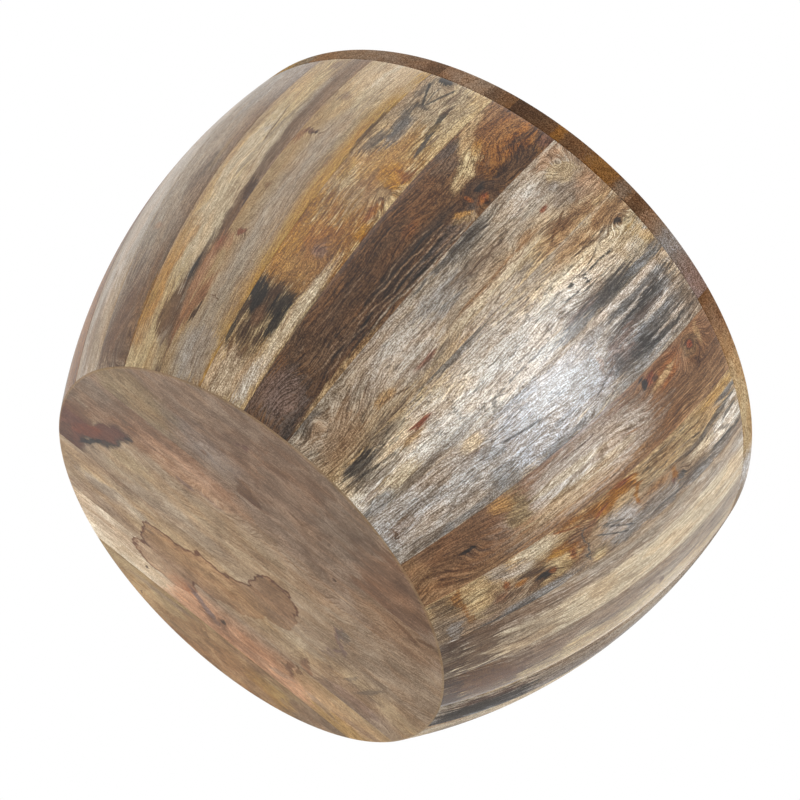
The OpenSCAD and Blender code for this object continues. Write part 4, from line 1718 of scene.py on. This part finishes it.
BASE_2 = BaseBoard(
    seed=202,
    ground=((-125, Tone.DUN), (-96, Tone.DUN), (-50, Tone.DRIFT), (31, Tone.DRIFT)),
    blots=(
        Blot(-20, -50, 60, 150, Tone.SAND, 0.45, soft=0.6),
        Blot(-60, -262, 30, 14, Tone.BARK, 0.7, fray=0.6),
        Blot(-10, -170, 24, 40, Tone.CREAM, 0.4, 30),
        Blot(-60, -100, 20, 60, Tone.DRIFT, 0.5, 12),
        Blot(12, -120, 22, 90, Tone.GREIGE, 0.4, soft=0.5),
        Blot(-92, -110, 28, 90, Tone.PEACH, 0.5),
        Blot(-78, -190, 24, 50, Tone.CHESTNUT, 0.55),
        Blot(-70, -205, 12, 44, Tone.CHESTNUT, 0.6, 24),
        Blot(-104, -230, 20, 40, Tone.TAUPE, 0.5),
        Blot(-112, -140, 8, 60, Tone.COFFEE, 0.35, -6),
        Blot(-100, 190, 30, 70, Tone.FAWN, 0.5),
        Blot(-40, 60, 8, 90, Tone.FAWN, 0.4, 10),
        Blot(-70, 150, 8, 90, Tone.CHESTNUT, 0.3, 8),
        Blot(-32, -213, 17, 50, Tone.INK, 0.9, 47, 0.3),
        Blot(-4, -256, 48, 28, Tone.INK, 0.75, 0, 0.3),
        Blot(-6, -260, 45, 28, Tone.GARNET, 0.95, 0, 0.3),
        Blot(-34, -217, 13, 46, Tone.GARNET, 0.95, 47, 0.3),
        Blot(-20, -234, 9, 28, Tone.EMBER, 0.45, 45, 0.5),
        Blot(10, -262, 20, 12, Tone.UMBER, 0.5),
        Blot(-46, -252, 14, 26, Tone.CHESTNUT, 0.6, 30),
        Blot(-4, -226, 3, 26, Tone.INK, 0.9, 52, 0.5),
        Blot(6, -236, 4, 8, Tone.INK, 0.8, 20, 0.5),
        Blot(-64, -178, 4, 7, Tone.INK, 0.7, 40, 0.4),
        Blot(6, 140, 30, 5, Tone.MAUVE, 0.85, 12),
        Blot(-8, 144, 12, 7, Tone.SLATE, 0.5, 12),
        Blot(-104, 108, 2.6, 2.6, Tone.UMBER, 0.95, 0, 0.3),
        Blot(-110, 205, 4, 20, Tone.COFFEE, 0.8, -20),
        Blot(-117, 226, 3.5, 14, Tone.COFFEE, 0.8, 24),
        Blot(-65, -95, 4, 14, Tone.MAUVE, 0.7),
        Blot(-70, -60, 3, 20, Tone.MAUVE, 0.4),
    ),
    eyes=(Eye(8, -262, 62, 74),),
    veins=(
        Vein(-60, 40, 220, 1.4, -0.12, 6, Tone.FAWN, 0.5),
        Vein(-78, -20, 180, 1.2, -0.12, 6, Tone.FAWN, 0.5),
        Vein(-30, 40, 200, 1.2, -0.1, 6, Tone.DUN, 0.5),
    ),
    heart=Heart(-420, 20, 0.0, 0.17),
    drift=18,
    lines=0.19,
    mottle=0.62,
    tint=0.5,
)
BASE_3 = BaseBoard(
    seed=203,
    ground=((31, Tone.DRIFT), (80, Tone.SAND), (121, Tone.DRIFT)),
    blots=(
        Blot(90, -215, 30, 60, Tone.DRIFT, 0.6),
        Blot(70, -60, 44, 80, Tone.SAND, 0.5, soft=0.6),
        Blot(106, -200, 8, 70, Tone.DUN, 0.4),
        Blot(72, -180, 14, 60, Tone.GREIGE, 0.6),
        Blot(96, 190, 30, 64, Tone.MAUVE, 0.5, soft=0.5),
        Blot(100, 186, 9, 36, Tone.MAUVE, 0.45),
        Blot(58, 196, 3, 30, Tone.TAUPE, 0.7, 60),
        Blot(60, 170, 2.6, 18, Tone.TAUPE, 0.6, 60),
        Blot(40, 128, 12, 5, Tone.MAUVE, 0.5, 20),
        Blot(108, 116, 22, 5, Tone.CHESTNUT, 0.85, 14),
        Blot(60, 90, 30, 40, Tone.GREIGE, 0.4, soft=0.5),
    ),
    eyes=(Eye(96, 180, 30, 70, 0.7),),
    drift=12,
    lines=0.22,
    mottle=0.66,
    tint=0.5,
)
BASE_4 = BaseBoard(
    seed=204,
    ground=((121, Tone.DRIFT), (150, Tone.PEACH), (190, Tone.PEACH)),
    blots=(
        Blot(160, -190, 70, 110, Tone.CHALK, 0.95, fray=0.5),
        Blot(140, -200, 30, 60, Tone.PEACH, 0.2),
        Blot(150, 60, 40, 60, Tone.DUN, 0.12),
        Blot(150, 190, 50, 84, Tone.SAND, 0.75),
        Blot(176, 190, 16, 50, Tone.STRAW, 0.6),
        Blot(150, 214, 5, 50, Tone.DUN, 0.6, 10),
        Blot(168, 150, 6, 26, Tone.DUN, 0.6, -14),
        Blot(152, -34, 6, 32, Tone.MAUVE, 0.95, -34),
        Blot(172, -8, 6, 26, Tone.CHESTNUT, 0.5, -10),
        Blot(156, -3, 5.5, 4, Tone.INK, 1.0, 0, 0.25),
        Blot(160, -4, 9, 8, Tone.COFFEE, 0.5, 0, 0.5),
        Blot(169, -120, 3, 2.5, Tone.UMBER, 0.9, 0, 0.25),
        Blot(140, 96, 22, 7, Tone.CHESTNUT, 0.95, 26),
        Blot(128, 108, 12, 4, Tone.COFFEE, 0.7, 30),
        Blot(175, 40, 12, 50, Tone.CHESTNUT, 0.22),
        Blot(166, 90, 6, 20, Tone.DUN, 0.6, 20),
    ),
    eyes=(Eye(156, -3, 12, 22),),
    lines=0.17,
    mottle=0.58,
    tint=0.5,
)
BASE_5 = BaseBoard(
    seed=205,
    ground=((190, Tone.OLIVE), (275, Tone.FAWN)),
    blots=(
        Blot(225, -150, 40, 80, Tone.SAND, 0.5),
        Blot(225, 20, 45, 75, Tone.FAWN, 0.7),
        Blot(225, 90, 16, 40, Tone.STRAW, 0.5),
        Blot(210, 180, 40, 70, Tone.DUN),
        Blot(196, 60, 6, 60, Tone.CHESTNUT, 0.5),
        Blot(204, -90, 5, 50, Tone.DUN, 0.6, 4),
        Blot(206, -18, 16, 2, Tone.COFFEE, 0.5, 20),
        Blot(235, -120, 4, 2, Tone.UMBER, 0.8, 0, 0.3),
    ),
    lines=0.18,
    mottle=0.66,
)
BASE_WOODS: dict[int, BaseBoard] = {1: BASE_1, 2: BASE_2, 3: BASE_3, 4: BASE_4, 5: BASE_5}

TOP_2 = Board(
    seed=302,
    ground=((-300, Tone.FAWN), (-218, Tone.DUN)),
    heart=Heart(-560, -380, 0.03),
    lines=0.4,
    pores=0.4,
)
TOP_3 = Board(
    seed=303,
    ground=((-218, Tone.DUN), (-141, Tone.CHESTNUT)),
    blots=(Blot(-150, -365, 14, 40, Tone.UMBER, 0.5),),
    heart=Heart(-480, -520, 0.02),
    lines=0.4,
)
TOP_4 = Board(
    seed=304,
    ground=((-141, Tone.CHESTNUT), (-95, Tone.DUN), (-50, Tone.COFFEE)),
    blots=(Blot(-76, -375, 7, 40, Tone.UMBER, 0.6), Blot(-60, -380, 8, 30, Tone.COFFEE, 0.6)),
    heart=Heart(240, -370, 0.02),
    lines=0.4,
)
TOP_5 = Board(
    seed=305,
    ground=((-50, Tone.UMBER), (41, Tone.COFFEE)),
    blots=(Blot(-40, -390, 12, 40, Tone.UMBER, 0.7), Blot(10, -390, 6, 40, Tone.AMBER, 0.5)),
    heart=Heart(-340, -540, 0.03),
    lines=0.45,
)
TOP_6 = Board(
    seed=306,
    ground=((41, Tone.CHESTNUT), (70, Tone.COFFEE), (113, Tone.CHESTNUT)),
    blots=(
        Blot(76, -385, 40, 50, Tone.COFFEE),
        Blot(70, -388, 18, 40, Tone.AMBER, 0.6),
        Blot(72, -388, 22, 40, Tone.UMBER, 0.3),
        Blot(100, -380, 8, 40, Tone.TAUPE, 0.6),
    ),
    heart=Heart(420, -350, 0.02),
    lines=0.4,
)
TOP_7 = Board(
    seed=307,
    ground=(
        (113, Tone.COFFEE),
        (135, Tone.CHESTNUT),
        (170, Tone.TAUPE),
        (210, Tone.MAUVE),
        (231, Tone.MAUVE),
    ),
    blots=(
        Blot(172, -352, 14, 40, Tone.PEWTER, 0.35),
        Blot(122, -375, 14, 34, Tone.COFFEE, 0.95),
        Blot(122, -375, 16, 34, Tone.UMBER, 0.45),
    ),
    heart=Heart(-160, -360, 0.03),
    lines=0.35,
)
TOP_8 = Board(
    seed=308,
    ground=(
        (231, Tone.COFFEE),
        (256, Tone.CHESTNUT),
        (285, Tone.FAWN),
        (330, Tone.SAND),
        (364, Tone.SAND),
        (375, Tone.LINEN),
        (382, Tone.LINEN),
        (388, Tone.DRIFT),
    ),
    heart=Heart(640, -330, 0.05),
    lines=0.35,
    pores=0.4,
)
TOP_WOODS: dict[int, Board] = {2: TOP_2, 3: TOP_3, 4: TOP_4, 5: TOP_5, 6: TOP_6, 7: TOP_7, 8: TOP_8}

WATER_MARK = Spill(
    ovals=(
        (-92, 98, 50, 33, 0),
        (-38, 86, 50, 36, 0),
        (12, 72, 40, 34, -45),
        (50, 30, 36, 42, -8),
        (-96, 134, 50, 25, 0),
    ),
    tone=Tone.DAMP,
    amount=1.0,
    rim_tone=Tone.TIDE,
    rim_amount=1.0,
    fade_slope=0.8,
    fade_start=76.0,
    fade_end=112.0,
)


class WoodYard:
    """Gives every board its wood: the known ones from the tables, the others by seeded choice."""

    GROUNDS = (
        (Tone.CREAM, Tone.SAND),
        (Tone.SAND, Tone.GREIGE),
        (Tone.CHALK, Tone.CREAM),
        (Tone.FAWN, Tone.CHESTNUT),
        (Tone.GREIGE, Tone.TAUPE),
        (Tone.COFFEE, Tone.UMBER),
        (Tone.STRAW, Tone.SAND),
        (Tone.LINEN, Tone.GREIGE),
    )
    MARKS = (Tone.SLATE, Tone.COFFEE, Tone.AMBER, Tone.RUST, Tone.TAUPE, Tone.CHALK, Tone.PEACH, Tone.LEAD)
    KNOT_CORES = (Tone.PLUM, Tone.COFFEE, Tone.INK)
    BLOT_COUNT = (5, 8)
    BLOT_WIDTHS = (0.06, 0.3)
    BLOT_LENGTHS = (0.05, 0.2)
    BLOT_AMOUNTS = (0.35, 0.8)
    EYE_COUNT = (1, 2)
    EYE_WIDTHS = (0.12, 0.26)
    EYE_STRETCH = (1.2, 3.5)
    EYE_SPREAD = 1.2
    HEART_DEPTHS = (4, 20)
    HEART_SLOPES = (-0.1, 0.1)
    DRIFTS = (7, 13)
    LINES = (0.35, 0.75)
    SPALTS = (0.0, 0.3, 0.5)
    MIDDLE_MARGIN = 0.3
    HEART_BEYOND = (140, 60)
    CORE_SHARE = (0.4, 0.5)

    def board(self, seed: int, low: float, high: float, start: float, end: float) -> Board:
        """Choose a wood.

        Args:
            seed: Number that fixes the choice.
            low: Lowest place across the board.
            high: Highest place across the board.
            start: Lowest place along the board.
            end: Highest place along the board.

        Returns:
            The wood.
        """
        chance = random.Random(seed)
        first, second = self.GROUNDS[seed % len(self.GROUNDS)]
        width = high - low
        margin = self.MIDDLE_MARGIN * width
        middle = chance.uniform(low + margin, high - margin)
        blots = []
        for _ in range(chance.randint(*self.BLOT_COUNT)):
            tone = chance.choice(self.MARKS)
            half_across = chance.uniform(*self.BLOT_WIDTHS) * width
            half_along = chance.uniform(*self.BLOT_LENGTHS) * (end - start)
            across, along = chance.uniform(low, high), chance.uniform(start, end)
            amount = chance.uniform(*self.BLOT_AMOUNTS)
            blots.append(Blot(across, along, half_across, half_along, tone, amount))
        eyes = []
        for _ in range(chance.randint(*self.EYE_COUNT)):
            across, along = chance.uniform(low, high), chance.uniform(start, end)
            size = chance.uniform(*self.EYE_WIDTHS) * width
            stretched = size * chance.uniform(*self.EYE_STRETCH)
            eyes.append(Eye(across, along, size, stretched, self.EYE_SPREAD))
            core = (size * share for share in self.CORE_SHARE)
            blots.append(Blot(across, along, *core, chance.choice(self.KNOT_CORES)))
        below, above = self.HEART_BEYOND
        heart_across = chance.uniform(low - below, high + above)
        depth, slope = chance.uniform(*self.HEART_DEPTHS), chance.uniform(*self.HEART_SLOPES)
        return Board(
            seed=seed,
            ground=((low, first), (middle, first), (high, second)),
            blots=tuple(blots),
            eyes=tuple(eyes),
            heart=Heart(heart_across, depth, slope),
            drift=chance.uniform(*self.DRIFTS),
            lines=chance.uniform(*self.LINES),
            spalt=chance.choice(self.SPALTS),
        )


class Joinery:
    """Mesh steps that several sub-assemblies share."""

    SHARP = math.radians(24)
    CUT_MARGIN = 1e-7
    BEYOND = 1.0

    @classmethod
    def spans(cls, joints: Sequence[float]) -> list[tuple[float, float]]:
        """Ends of the planks between some joints, of which the outer two reach past the table."""
        edges = [-cls.BEYOND, *joints, cls.BEYOND]
        return list(zip(edges, edges[1:]))

    @staticmethod
    def turned_disc(rings: Sequence[tuple[float, float]], segments: int) -> bmesh.types.BMesh:
        """Turn a solid disc by extruding a circle's rim ring by ring.

        Args:
            rings: Radius and height of each ring, from the underside up.
            segments: Sides of the circle.

        Returns:
            The mesh.
        """
        bm = bmesh.new()
        radius, height = rings[0]
        bmesh.ops.create_circle(bm, cap_ends=True, radius=radius, segments=segments)
        bmesh.ops.translate(bm, verts=bm.verts[:], vec=(0, 0, height))
        rim = bm.edges[:]
        for next_radius, next_height in rings[1:]:
            made = bmesh.ops.extrude_edge_only(bm, edges=rim)["geom"]
            verts = {item for item in made if isinstance(item, bmesh.types.BMVert)}
            edges = [item for item in made if isinstance(item, bmesh.types.BMEdge)]
            rim = [edge for edge in edges if set(edge.verts) <= verts]
            ratio = next_radius / radius
            bmesh.ops.scale(bm, vec=(ratio, ratio, 1), verts=list(verts))
            bmesh.ops.translate(bm, verts=list(verts), vec=(0, 0, next_height - height))
            radius, height = next_radius, next_height
        bmesh.ops.contextual_create(bm, geom=rim)
        return bm

    @classmethod
    def trim(cls, bm: bmesh.types.BMesh, place: Vector, normal: Vector) -> list[bmesh.types.BMEdge]:
        """Cut off what lies on the normal's side of a plane.

        Args:
            bm: The mesh.
            place: A point of the plane.
            normal: The plane's normal.

        Returns:
            The edges along the cut.
        """
        cut = bmesh.ops.bisect_plane(
            bm,
            geom=bm.verts[:] + bm.edges[:] + bm.faces[:],
            dist=cls.CUT_MARGIN,
            plane_co=place,
            plane_no=normal,
            clear_outer=True,
        )
        return [item for item in cut["geom_cut"] if isinstance(item, bmesh.types.BMEdge)]

    @classmethod
    def saw(cls, bm: bmesh.types.BMesh, place: Vector, normal: Vector) -> None:
        """Cut off what lies on the normal's side of a plane and close the cut."""
        bmesh.ops.holes_fill(bm, edges=cls.trim(bm, place, normal), sides=0)

    @staticmethod
    def chamfer(
        bm: bmesh.types.BMesh, edges: list[bmesh.types.BMEdge], width: float, segments: int
    ) -> None:
        """Bevel some edges.

        Args:
            bm: The mesh.
            edges: The edges.
            width: Width of the bevel on each face, in metres.
            segments: Faces across the bevel.
        """
        bmesh.ops.bevel(
            bm,
            geom=edges,
            offset=width,
            offset_type="OFFSET",
            segments=segments,
            profile=0.5,
            affect="EDGES",
            material=-1,
        )

    @classmethod
    def ease_edges(cls, bm: bmesh.types.BMesh, width: float) -> None:
        """Ease every hard edge by a small bevel."""
        bmesh.ops.recalc_face_normals(bm, faces=bm.faces[:])
        hard = [edge for edge in bm.edges if edge.calc_face_angle(0.0) > cls.SHARP]
        cls.chamfer(bm, hard, width, 2)

    @classmethod
    def finish(cls, bm: bmesh.types.BMesh, name: str) -> bpy.types.Object:
        """Turn a mesh into an object with smooth faces and hard edges.

        Args:
            bm: The mesh, which is freed.
            name: Name of the object.

        Returns:
            The object.
        """
        bmesh.ops.recalc_face_normals(bm, faces=bm.faces[:])
        for face in bm.faces:
            face.smooth = True
        for edge in bm.edges:
            edge.smooth = edge.calc_face_angle(0.0) < cls.SHARP
        mesh = bpy.data.meshes.new(name)
        bm.to_mesh(mesh)
        bm.free()
        piece = bpy.data.objects.new(name, mesh)
        bpy.context.scene.collection.objects.link(piece)
        return piece


@dataclass
class SubAssembly:
    """Shared work of the table's sub-assemblies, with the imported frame, the sizes and the woods."""

    frame: Mapping[str, Any]
    form: TableForm
    yard: WoodYard

    @property
    def slots(self) -> dict[str, str]:
        """Material slot of each CAD node."""
        return {part["node"]: part["material_slot"] for part in self.frame["record"]["subparts"]}

    def stand_in(self, piece: bpy.types.Object, node: str, material: bpy.types.Material) -> None:
        """Let a new piece take the place of a CAD node.

        Args:
            piece: The piece.
            node: The node it replaces.
            material: Its material.
        """
        piece.data.materials.append(material)
        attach(piece, BODY)
        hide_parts(node)
        LOG.info("%s: %d faces", piece.name, len(piece.data.polygons))

    def dress_node(self, node: str, material: bpy.types.Material) -> None:
        """Give a CAD node that stays shown its material."""
        holder = self.frame["nodes"][node]
        for slot in holder.material_slots:
            slot.material = material
        LOG.info("%s: dressed", node)


@dataclass
class StaveWall(SubAssembly):
    """The wall of bent, tapered staves."""

    arc_steps: int = 72
    turn_steps: int = 12
    run_out: float = 0.006
    lip_depth: float = 0.0005
    board_span: tuple[float, float, float, float] = (-41.0, 41.0, -417.0, 38.0)
    rubbed: tuple[int, ...] = (30, 1)

    def strip(self) -> bmesh.types.BMesh:
        """Make a stave's section as a strip in the XZ plane.

        Returns:
            The strip.
        """
        form = self.form
        inner_r = form.belly_r - form.stave_t
        start = math.asin((-self.run_out - form.belly_z) / form.belly_r)
        end = math.asin((form.wall_top + self.run_out - form.belly_z) / inner_r)
        bm = bmesh.new()
        ends = []
        for radius in (inner_r, form.belly_r):
            place = (form.belly_x + radius * math.cos(start), 0, form.belly_z + radius * math.sin(start))
            ends.append(bm.verts.new(place))
        bmesh.ops.spin(
            bm,
            geom=[*ends, bm.edges.new(ends)],
            cent=(form.belly_x, 0, form.belly_z),
            axis=(0, -1, 0),
            angle=end - start,
            steps=self.arc_steps,
            use_merge=False,
        )
        foot_out, foot_in = form.mitre_out, form.mitre_in
        mitre_normal = Vector((foot_out[1] - foot_in[1], 0, foot_in[0] - foot_out[0]))
        Joinery.trim(bm, Vector((foot_out[0], 0, foot_out[1])), mitre_normal)
        Joinery.trim(bm, Vector((0, 0, form.wall_top)), Vector((0, 0, 1)))
        return bm

    def stave(self, number: int) -> bpy.types.Object:
        """Build one stave.

        Args:
            number: Its number from 1.

        Returns:
            The stave.
        """
        form = self.form
        bm = self.strip()
        start = math.radians(form.stave_phase + form.stave_a * (number - 1))
        bmesh.ops.rotate(bm, verts=bm.verts[:], cent=(0, 0, 0), matrix=Matrix.Rotation(start, 3, "Z"))
        bmesh.ops.spin(
            bm,
            geom=bm.verts[:] + bm.edges[:] + bm.faces[:],
            cent=(0, 0, 0),
            axis=(0, 0, 1),
            angle=math.radians(form.stave_a),
            steps=self.turn_steps,
            use_merge=False,
        )
        bmesh.ops.recalc_face_normals(bm, faces=bm.faces[:])
        lip = form.wall_r(form.wall_top) - self.lip_depth
        seam = form.wall_top - 1e-5
        upper = [
            edge
            for edge in bm.edges
            if all(v.co.z > seam and math.hypot(v.co.x, v.co.y) > lip for v in edge.verts)
        ]
        Joinery.chamfer(bm, upper, form.joint_chamfer, 1)
        Joinery.ease_edges(bm, form.seam_ease)
        return Joinery.finish(bm, f"wall_stave_{number:02d}")

    def build(self) -> None:
        """Build and dress all staves."""
        for number in range(1, self.form.stave_n + 1):
            turn = self.form.stave_phase + self.form.stave_a * (number - 0.5)
            board = STAVE_WOODS.get(number) or self.yard.board(number * 7 + 3, *self.board_span)
            lay = StaveLay(turn, self.form)
            finish = RUBBED_STAVE if number in self.rubbed else LACQUERED
            material = BoardMaterial(f"stave_wood_{number:02d}", board, finish, lay).build()
            self.stand_in(self.stave(number), f"stave_{number:02d}", material)


@dataclass
class TopPanel(SubAssembly):
    """The planked top, whose edge carries on the wall's arc."""

    segments: int = 360
    arc_steps: int = 6
    round_steps: int = 8
    grain_reach: float = 390.0

    def rings(self) -> list[tuple[float, float]]:
        """Radius and height of the panel's rings.

        Returns:
            The rings, from the underside up.
        """
        form = self.form
        eased_z = form.wall_top + form.joint_chamfer
        rings = [
            (form.wall_r(form.wall_top) - form.joint_chamfer, form.wall_top),
            (form.wall_r(eased_z), eased_z),
        ]
        round_z = form.table_h - form.top_round
        round_x = form.wall_r(round_z, form.top_round)
        lean = math.asin((round_z - form.belly_z) / (form.belly_r - form.top_round))
        last_z = round_z + form.top_round * math.sin(lean)
        for i in range(1, self.arc_steps):
            height = eased_z + (last_z - eased_z) * i / self.arc_steps
            rings.append((form.wall_r(height), height))
        for i in range(self.round_steps + 1):
            angle = lean + (math.pi / 2 - lean) * i / self.round_steps
            out, up = form.top_round * math.cos(angle), form.top_round * math.sin(angle)
            rings.append((round_x + out, round_z + up))
        return rings

    def build(self) -> None:
        """Build and dress all top planks."""
        form = self.form
        reach = form.table_d / 2
        for number, (low, high) in enumerate(Joinery.spans(form.top_joints), 1):
            bm = Joinery.turned_disc(self.rings(), self.segments)
            Joinery.saw(bm, Vector((high, 0, 0)), Vector((1, 0, 0)))
            Joinery.saw(bm, Vector((low, 0, 0)), Vector((-1, 0, 0)))
            Joinery.ease_edges(bm, form.seam_ease)
            for vert in bm.verts:
                vert.co.z = min(vert.co.z, form.table_h)
            piece = Joinery.finish(bm, f"top_board_{number}")
            span = (max(low, -reach) / MM, min(high, reach) / MM, -self.grain_reach, self.grain_reach)
            board = TOP_WOODS.get(number) or self.yard.board(number * 5 + 41, *span)
            maker = BoardMaterial(f"top_wood_{number}", board, RUBBED_EDGE, PlankLay(grain_x=False))
            self.stand_in(piece, f"top_plank_{number}", maker.build())


@dataclass
class BasePanel(SubAssembly):
    """The planked base that the staves are mitred to."""

    segments: int = 360
    # Width in metres of the pale painted highlight along the base's rim.
    rim_highlight_width: float = 0.0024
    stained: tuple[int, ...] = (2, 3, 4)

    def build(self) -> None:
        """Build and dress all base planks."""
        form = self.form
        rings = [(form.base_d / 2 - form.foot_chamfer, 0.0), form.mitre_out, form.mitre_in]
        for number, (low, high) in enumerate(Joinery.spans(form.base_joints), 1):
            bm = Joinery.turned_disc(rings, self.segments)
            Joinery.saw(bm, Vector((0, high, 0)), Vector((0, 1, 0)))
            Joinery.saw(bm, Vector((0, low, 0)), Vector((0, -1, 0)))
            Joinery.ease_edges(bm, form.seam_ease)
            piece = Joinery.finish(bm, f"base_board_{number}")
            board = BASE_WOODS[number]
            maker = BoardMaterial(f"base_wood_{number}", board, WORN_MATTE, PlankLay(grain_x=True))
            spill = WATER_MARK if number in self.stained else None
            material = maker.build(spill, form.base_d / 2 - self.rim_highlight_width)
            self.stand_in(piece, f"base_plank_{number}", material)


@dataclass
class InnerFrame(SubAssembly):
    """The glue rings, battens and screws inside, which keep their CAD meshes."""

    ring_board: Board = Board(402, ((-300, Tone.FAWN), (300, Tone.SAND)), lines=0.4, pores=0.3)
    batten_board: Board = Board(401, ((-300, Tone.SAND), (300, Tone.CREAM)), lines=0.45, pores=0.3)

    def build(self) -> None:
        """Dress all inner pieces."""
        ring_lay, batten_lay = PlankLay(grain_x=False), PlankLay(grain_x=True)
        ring_wood = BoardMaterial("sawn_ring_wood", self.ring_board, SAWN, ring_lay).build()
        batten_wood = BoardMaterial("sawn_batten_wood", self.batten_board, SAWN, batten_lay).build()
        zinc = zinc_material()
        for node in self.frame["nodes"]:
            if "ring_segment" in node:
                self.dress_node(node, ring_wood)
            elif node.startswith("batten"):
                self.dress_node(node, batten_wood)
            elif node.endswith("screws"):
                self.dress_node(node, zinc)


@dataclass(frozen=True)
class Lamp:
    """A square soft lamp that faces a point of the table."""

    name: str
    place: tuple[float, float, float]
    aim: tuple[float, float, float]
    side: float
    level: float
    colour: tuple[float, float, float] = (1.0, 1.0, 1.0)


class Studio:
    """Camera, floor, pale surround and soft lamps."""

    FOCAL_MM = 90.0
    SENSOR_MM = 36.0
    CAMERA_PLACE = (0.4464, -1.9828, -0.9801)
    CAMERA_AIM = (-0.0004, 0.0, 0.3000)
    CAMERA_ROLL = 43.97
    LAMPS = (
        Lamp("glare_softbox", (1.62, -1.98, 0.58), (0.15, -0.3, 0.25), 0.5, 1.0, (0.86, 0.93, 1.0)),
        Lamp("left_softbox", (-2.0, -1.7, 0.7), (0.0, 0.0, 0.3), 1.6, 0.29),
        Lamp("low_softbox", (-1.1, 1.3, -1.7), (0.0, 0.0, 0.1), 1.4, 0.60),
        Lamp("high_softbox", (-0.9, -0.7, 2.6), (0.0, 0.0, 0.3), 2.0, 0.32),
        Lamp("back_softbox", (0.6, 2.6, 0.9), (0.0, 0.0, 0.3), 2.0, 0.30),
    )
    CLIP_START = 0.05
    SURROUND_LEVEL = 0.50
    SEEN_BY = ("Is Camera Ray", "Is Glossy Ray", "Is Transmission Ray")
    FLOOR_DROP = 0.0005
    FLOOR_HALF = 4.0
    FLOOR_TONES = ((0.78, 0.78, 0.77, 1.0), (0.84, 0.84, 0.83, 1.0))

    @staticmethod
    def aimed(place: Sequence[float], aim: Sequence[float]) -> Matrix:
        """Place of an object that looks along its -Z at a point."""
        turn = (Vector(aim) - Vector(place)).to_track_quat("-Z", "Y").to_matrix().to_4x4()
        return Matrix.Translation(place) @ turn

    def camera(self) -> None:
        """Place the camera, below the table's level and rolled as in the photo."""
        data = bpy.data.cameras.new("photo_camera")
        data.lens = self.FOCAL_MM
        data.sensor_width = self.SENSOR_MM
        data.clip_start = self.CLIP_START
        holder = bpy.data.objects.new("photo_camera", data)
        roll = Matrix.Rotation(math.radians(self.CAMERA_ROLL), 4, "Z")
        holder.matrix_world = self.aimed(self.CAMERA_PLACE, self.CAMERA_AIM) @ roll
        bpy.context.scene.collection.objects.link(holder)
        bpy.context.scene.camera = holder

    def lamp(self, lamp: Lamp) -> None:
        """Hang one soft lamp.

        Args:
            lamp: The lamp, whose level is a share of a plain full light at the table.
        """
        data = bpy.data.lights.new(lamp.name, "AREA")
        data.shape = "SQUARE"
        data.size = lamp.side
        distance = Vector(lamp.aim) - Vector(lamp.place)
        data.energy = math.pi**2 * lamp.level * distance.length_squared
        data.color = lamp.colour
        holder = bpy.data.objects.new(lamp.name, data)
        holder.matrix_world = self.aimed(lamp.place, lamp.aim)
        bpy.context.scene.collection.objects.link(holder)

    def surround(self) -> None:
        """Light the scene from a pale surround that is white where it is seen."""
        world = bpy.data.worlds.new("pale_surround")
        world.use_nodes = True
        bpy.context.scene.world = world
        sheet = NodeSheet(world.node_tree)
        camera, glossy, through = (sheet.node("ShaderNodeLightPath", output=name) for name in self.SEEN_BY)
        seen = sheet.math("MAXIMUM", sheet.math("MAXIMUM", camera, glossy), through)
        strength = sheet.ease(self.SURROUND_LEVEL, 1.0, seen)
        background = sheet.node("ShaderNodeBackground", None, {"Color": WHITE, "Strength": strength})
        sheet.node("ShaderNodeOutputWorld", None, {"Surface": background})

    def floor(self) -> None:
        """Lay a pale floor that is seen from above only, so that it never hides the underside."""
        bm = bmesh.new()
        bmesh.ops.create_grid(bm, x_segments=8, y_segments=8, size=self.FLOOR_HALF)
        bmesh.ops.translate(bm, verts=bm.verts[:], vec=(0, 0, -self.FLOOR_DROP))
        mesh = bpy.data.meshes.new("studio_floor")
        bm.to_mesh(mesh)
        bm.free()
        floor = bpy.data.objects.new("studio_floor", mesh)
        bpy.context.scene.collection.objects.link(floor)
        floor.visible_shadow = False
        floor.visible_diffuse = False
        floor.visible_glossy = False
        material = bpy.data.materials.new("pale_floor")
        material.use_nodes = True
        sheet = NodeSheet(material.node_tree)
        place = object_place(sheet)
        grain = sheet.noise(sheet.vector_math("MULTIPLY", place, (0.004, 0.004, 0.004)), 3)
        colour = sheet.blend(*self.FLOOR_TONES, grain)
        paint = sheet.node("ShaderNodeBsdfDiffuse", None, {"Color": colour})
        clear = sheet.node("ShaderNodeBsdfTransparent")
        below = sheet.node("ShaderNodeNewGeometry", output="Backfacing")
        surface = sheet.node("ShaderNodeMixShader", None, {0: below, 1: paint, 2: clear})
        sheet.node("ShaderNodeOutputMaterial", None, {"Surface": surface})
        mesh.materials.append(material)

    def build(self) -> None:
        """Set up the whole studio."""
        bpy.context.scene.view_settings.view_transform = "Standard"
        self.camera()
        self.surround()
        self.floor()
        for lamp in self.LAMPS:
            self.lamp(lamp)
        LOG.info("studio: %d lamps", len(self.LAMPS))


def main() -> None:
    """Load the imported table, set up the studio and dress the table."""
    logging.basicConfig(level=logging.INFO, format="%(name)s %(message)s")
    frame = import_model()
    form = TableForm()
    yard = WoodYard()
    Studio().build()
    for part in (StaveWall, TopPanel, BasePanel, InnerFrame):
        part(frame, form, yard).build()
        LOG.info("%s done", part.__name__)


if __name__ == "__main__":
    main()
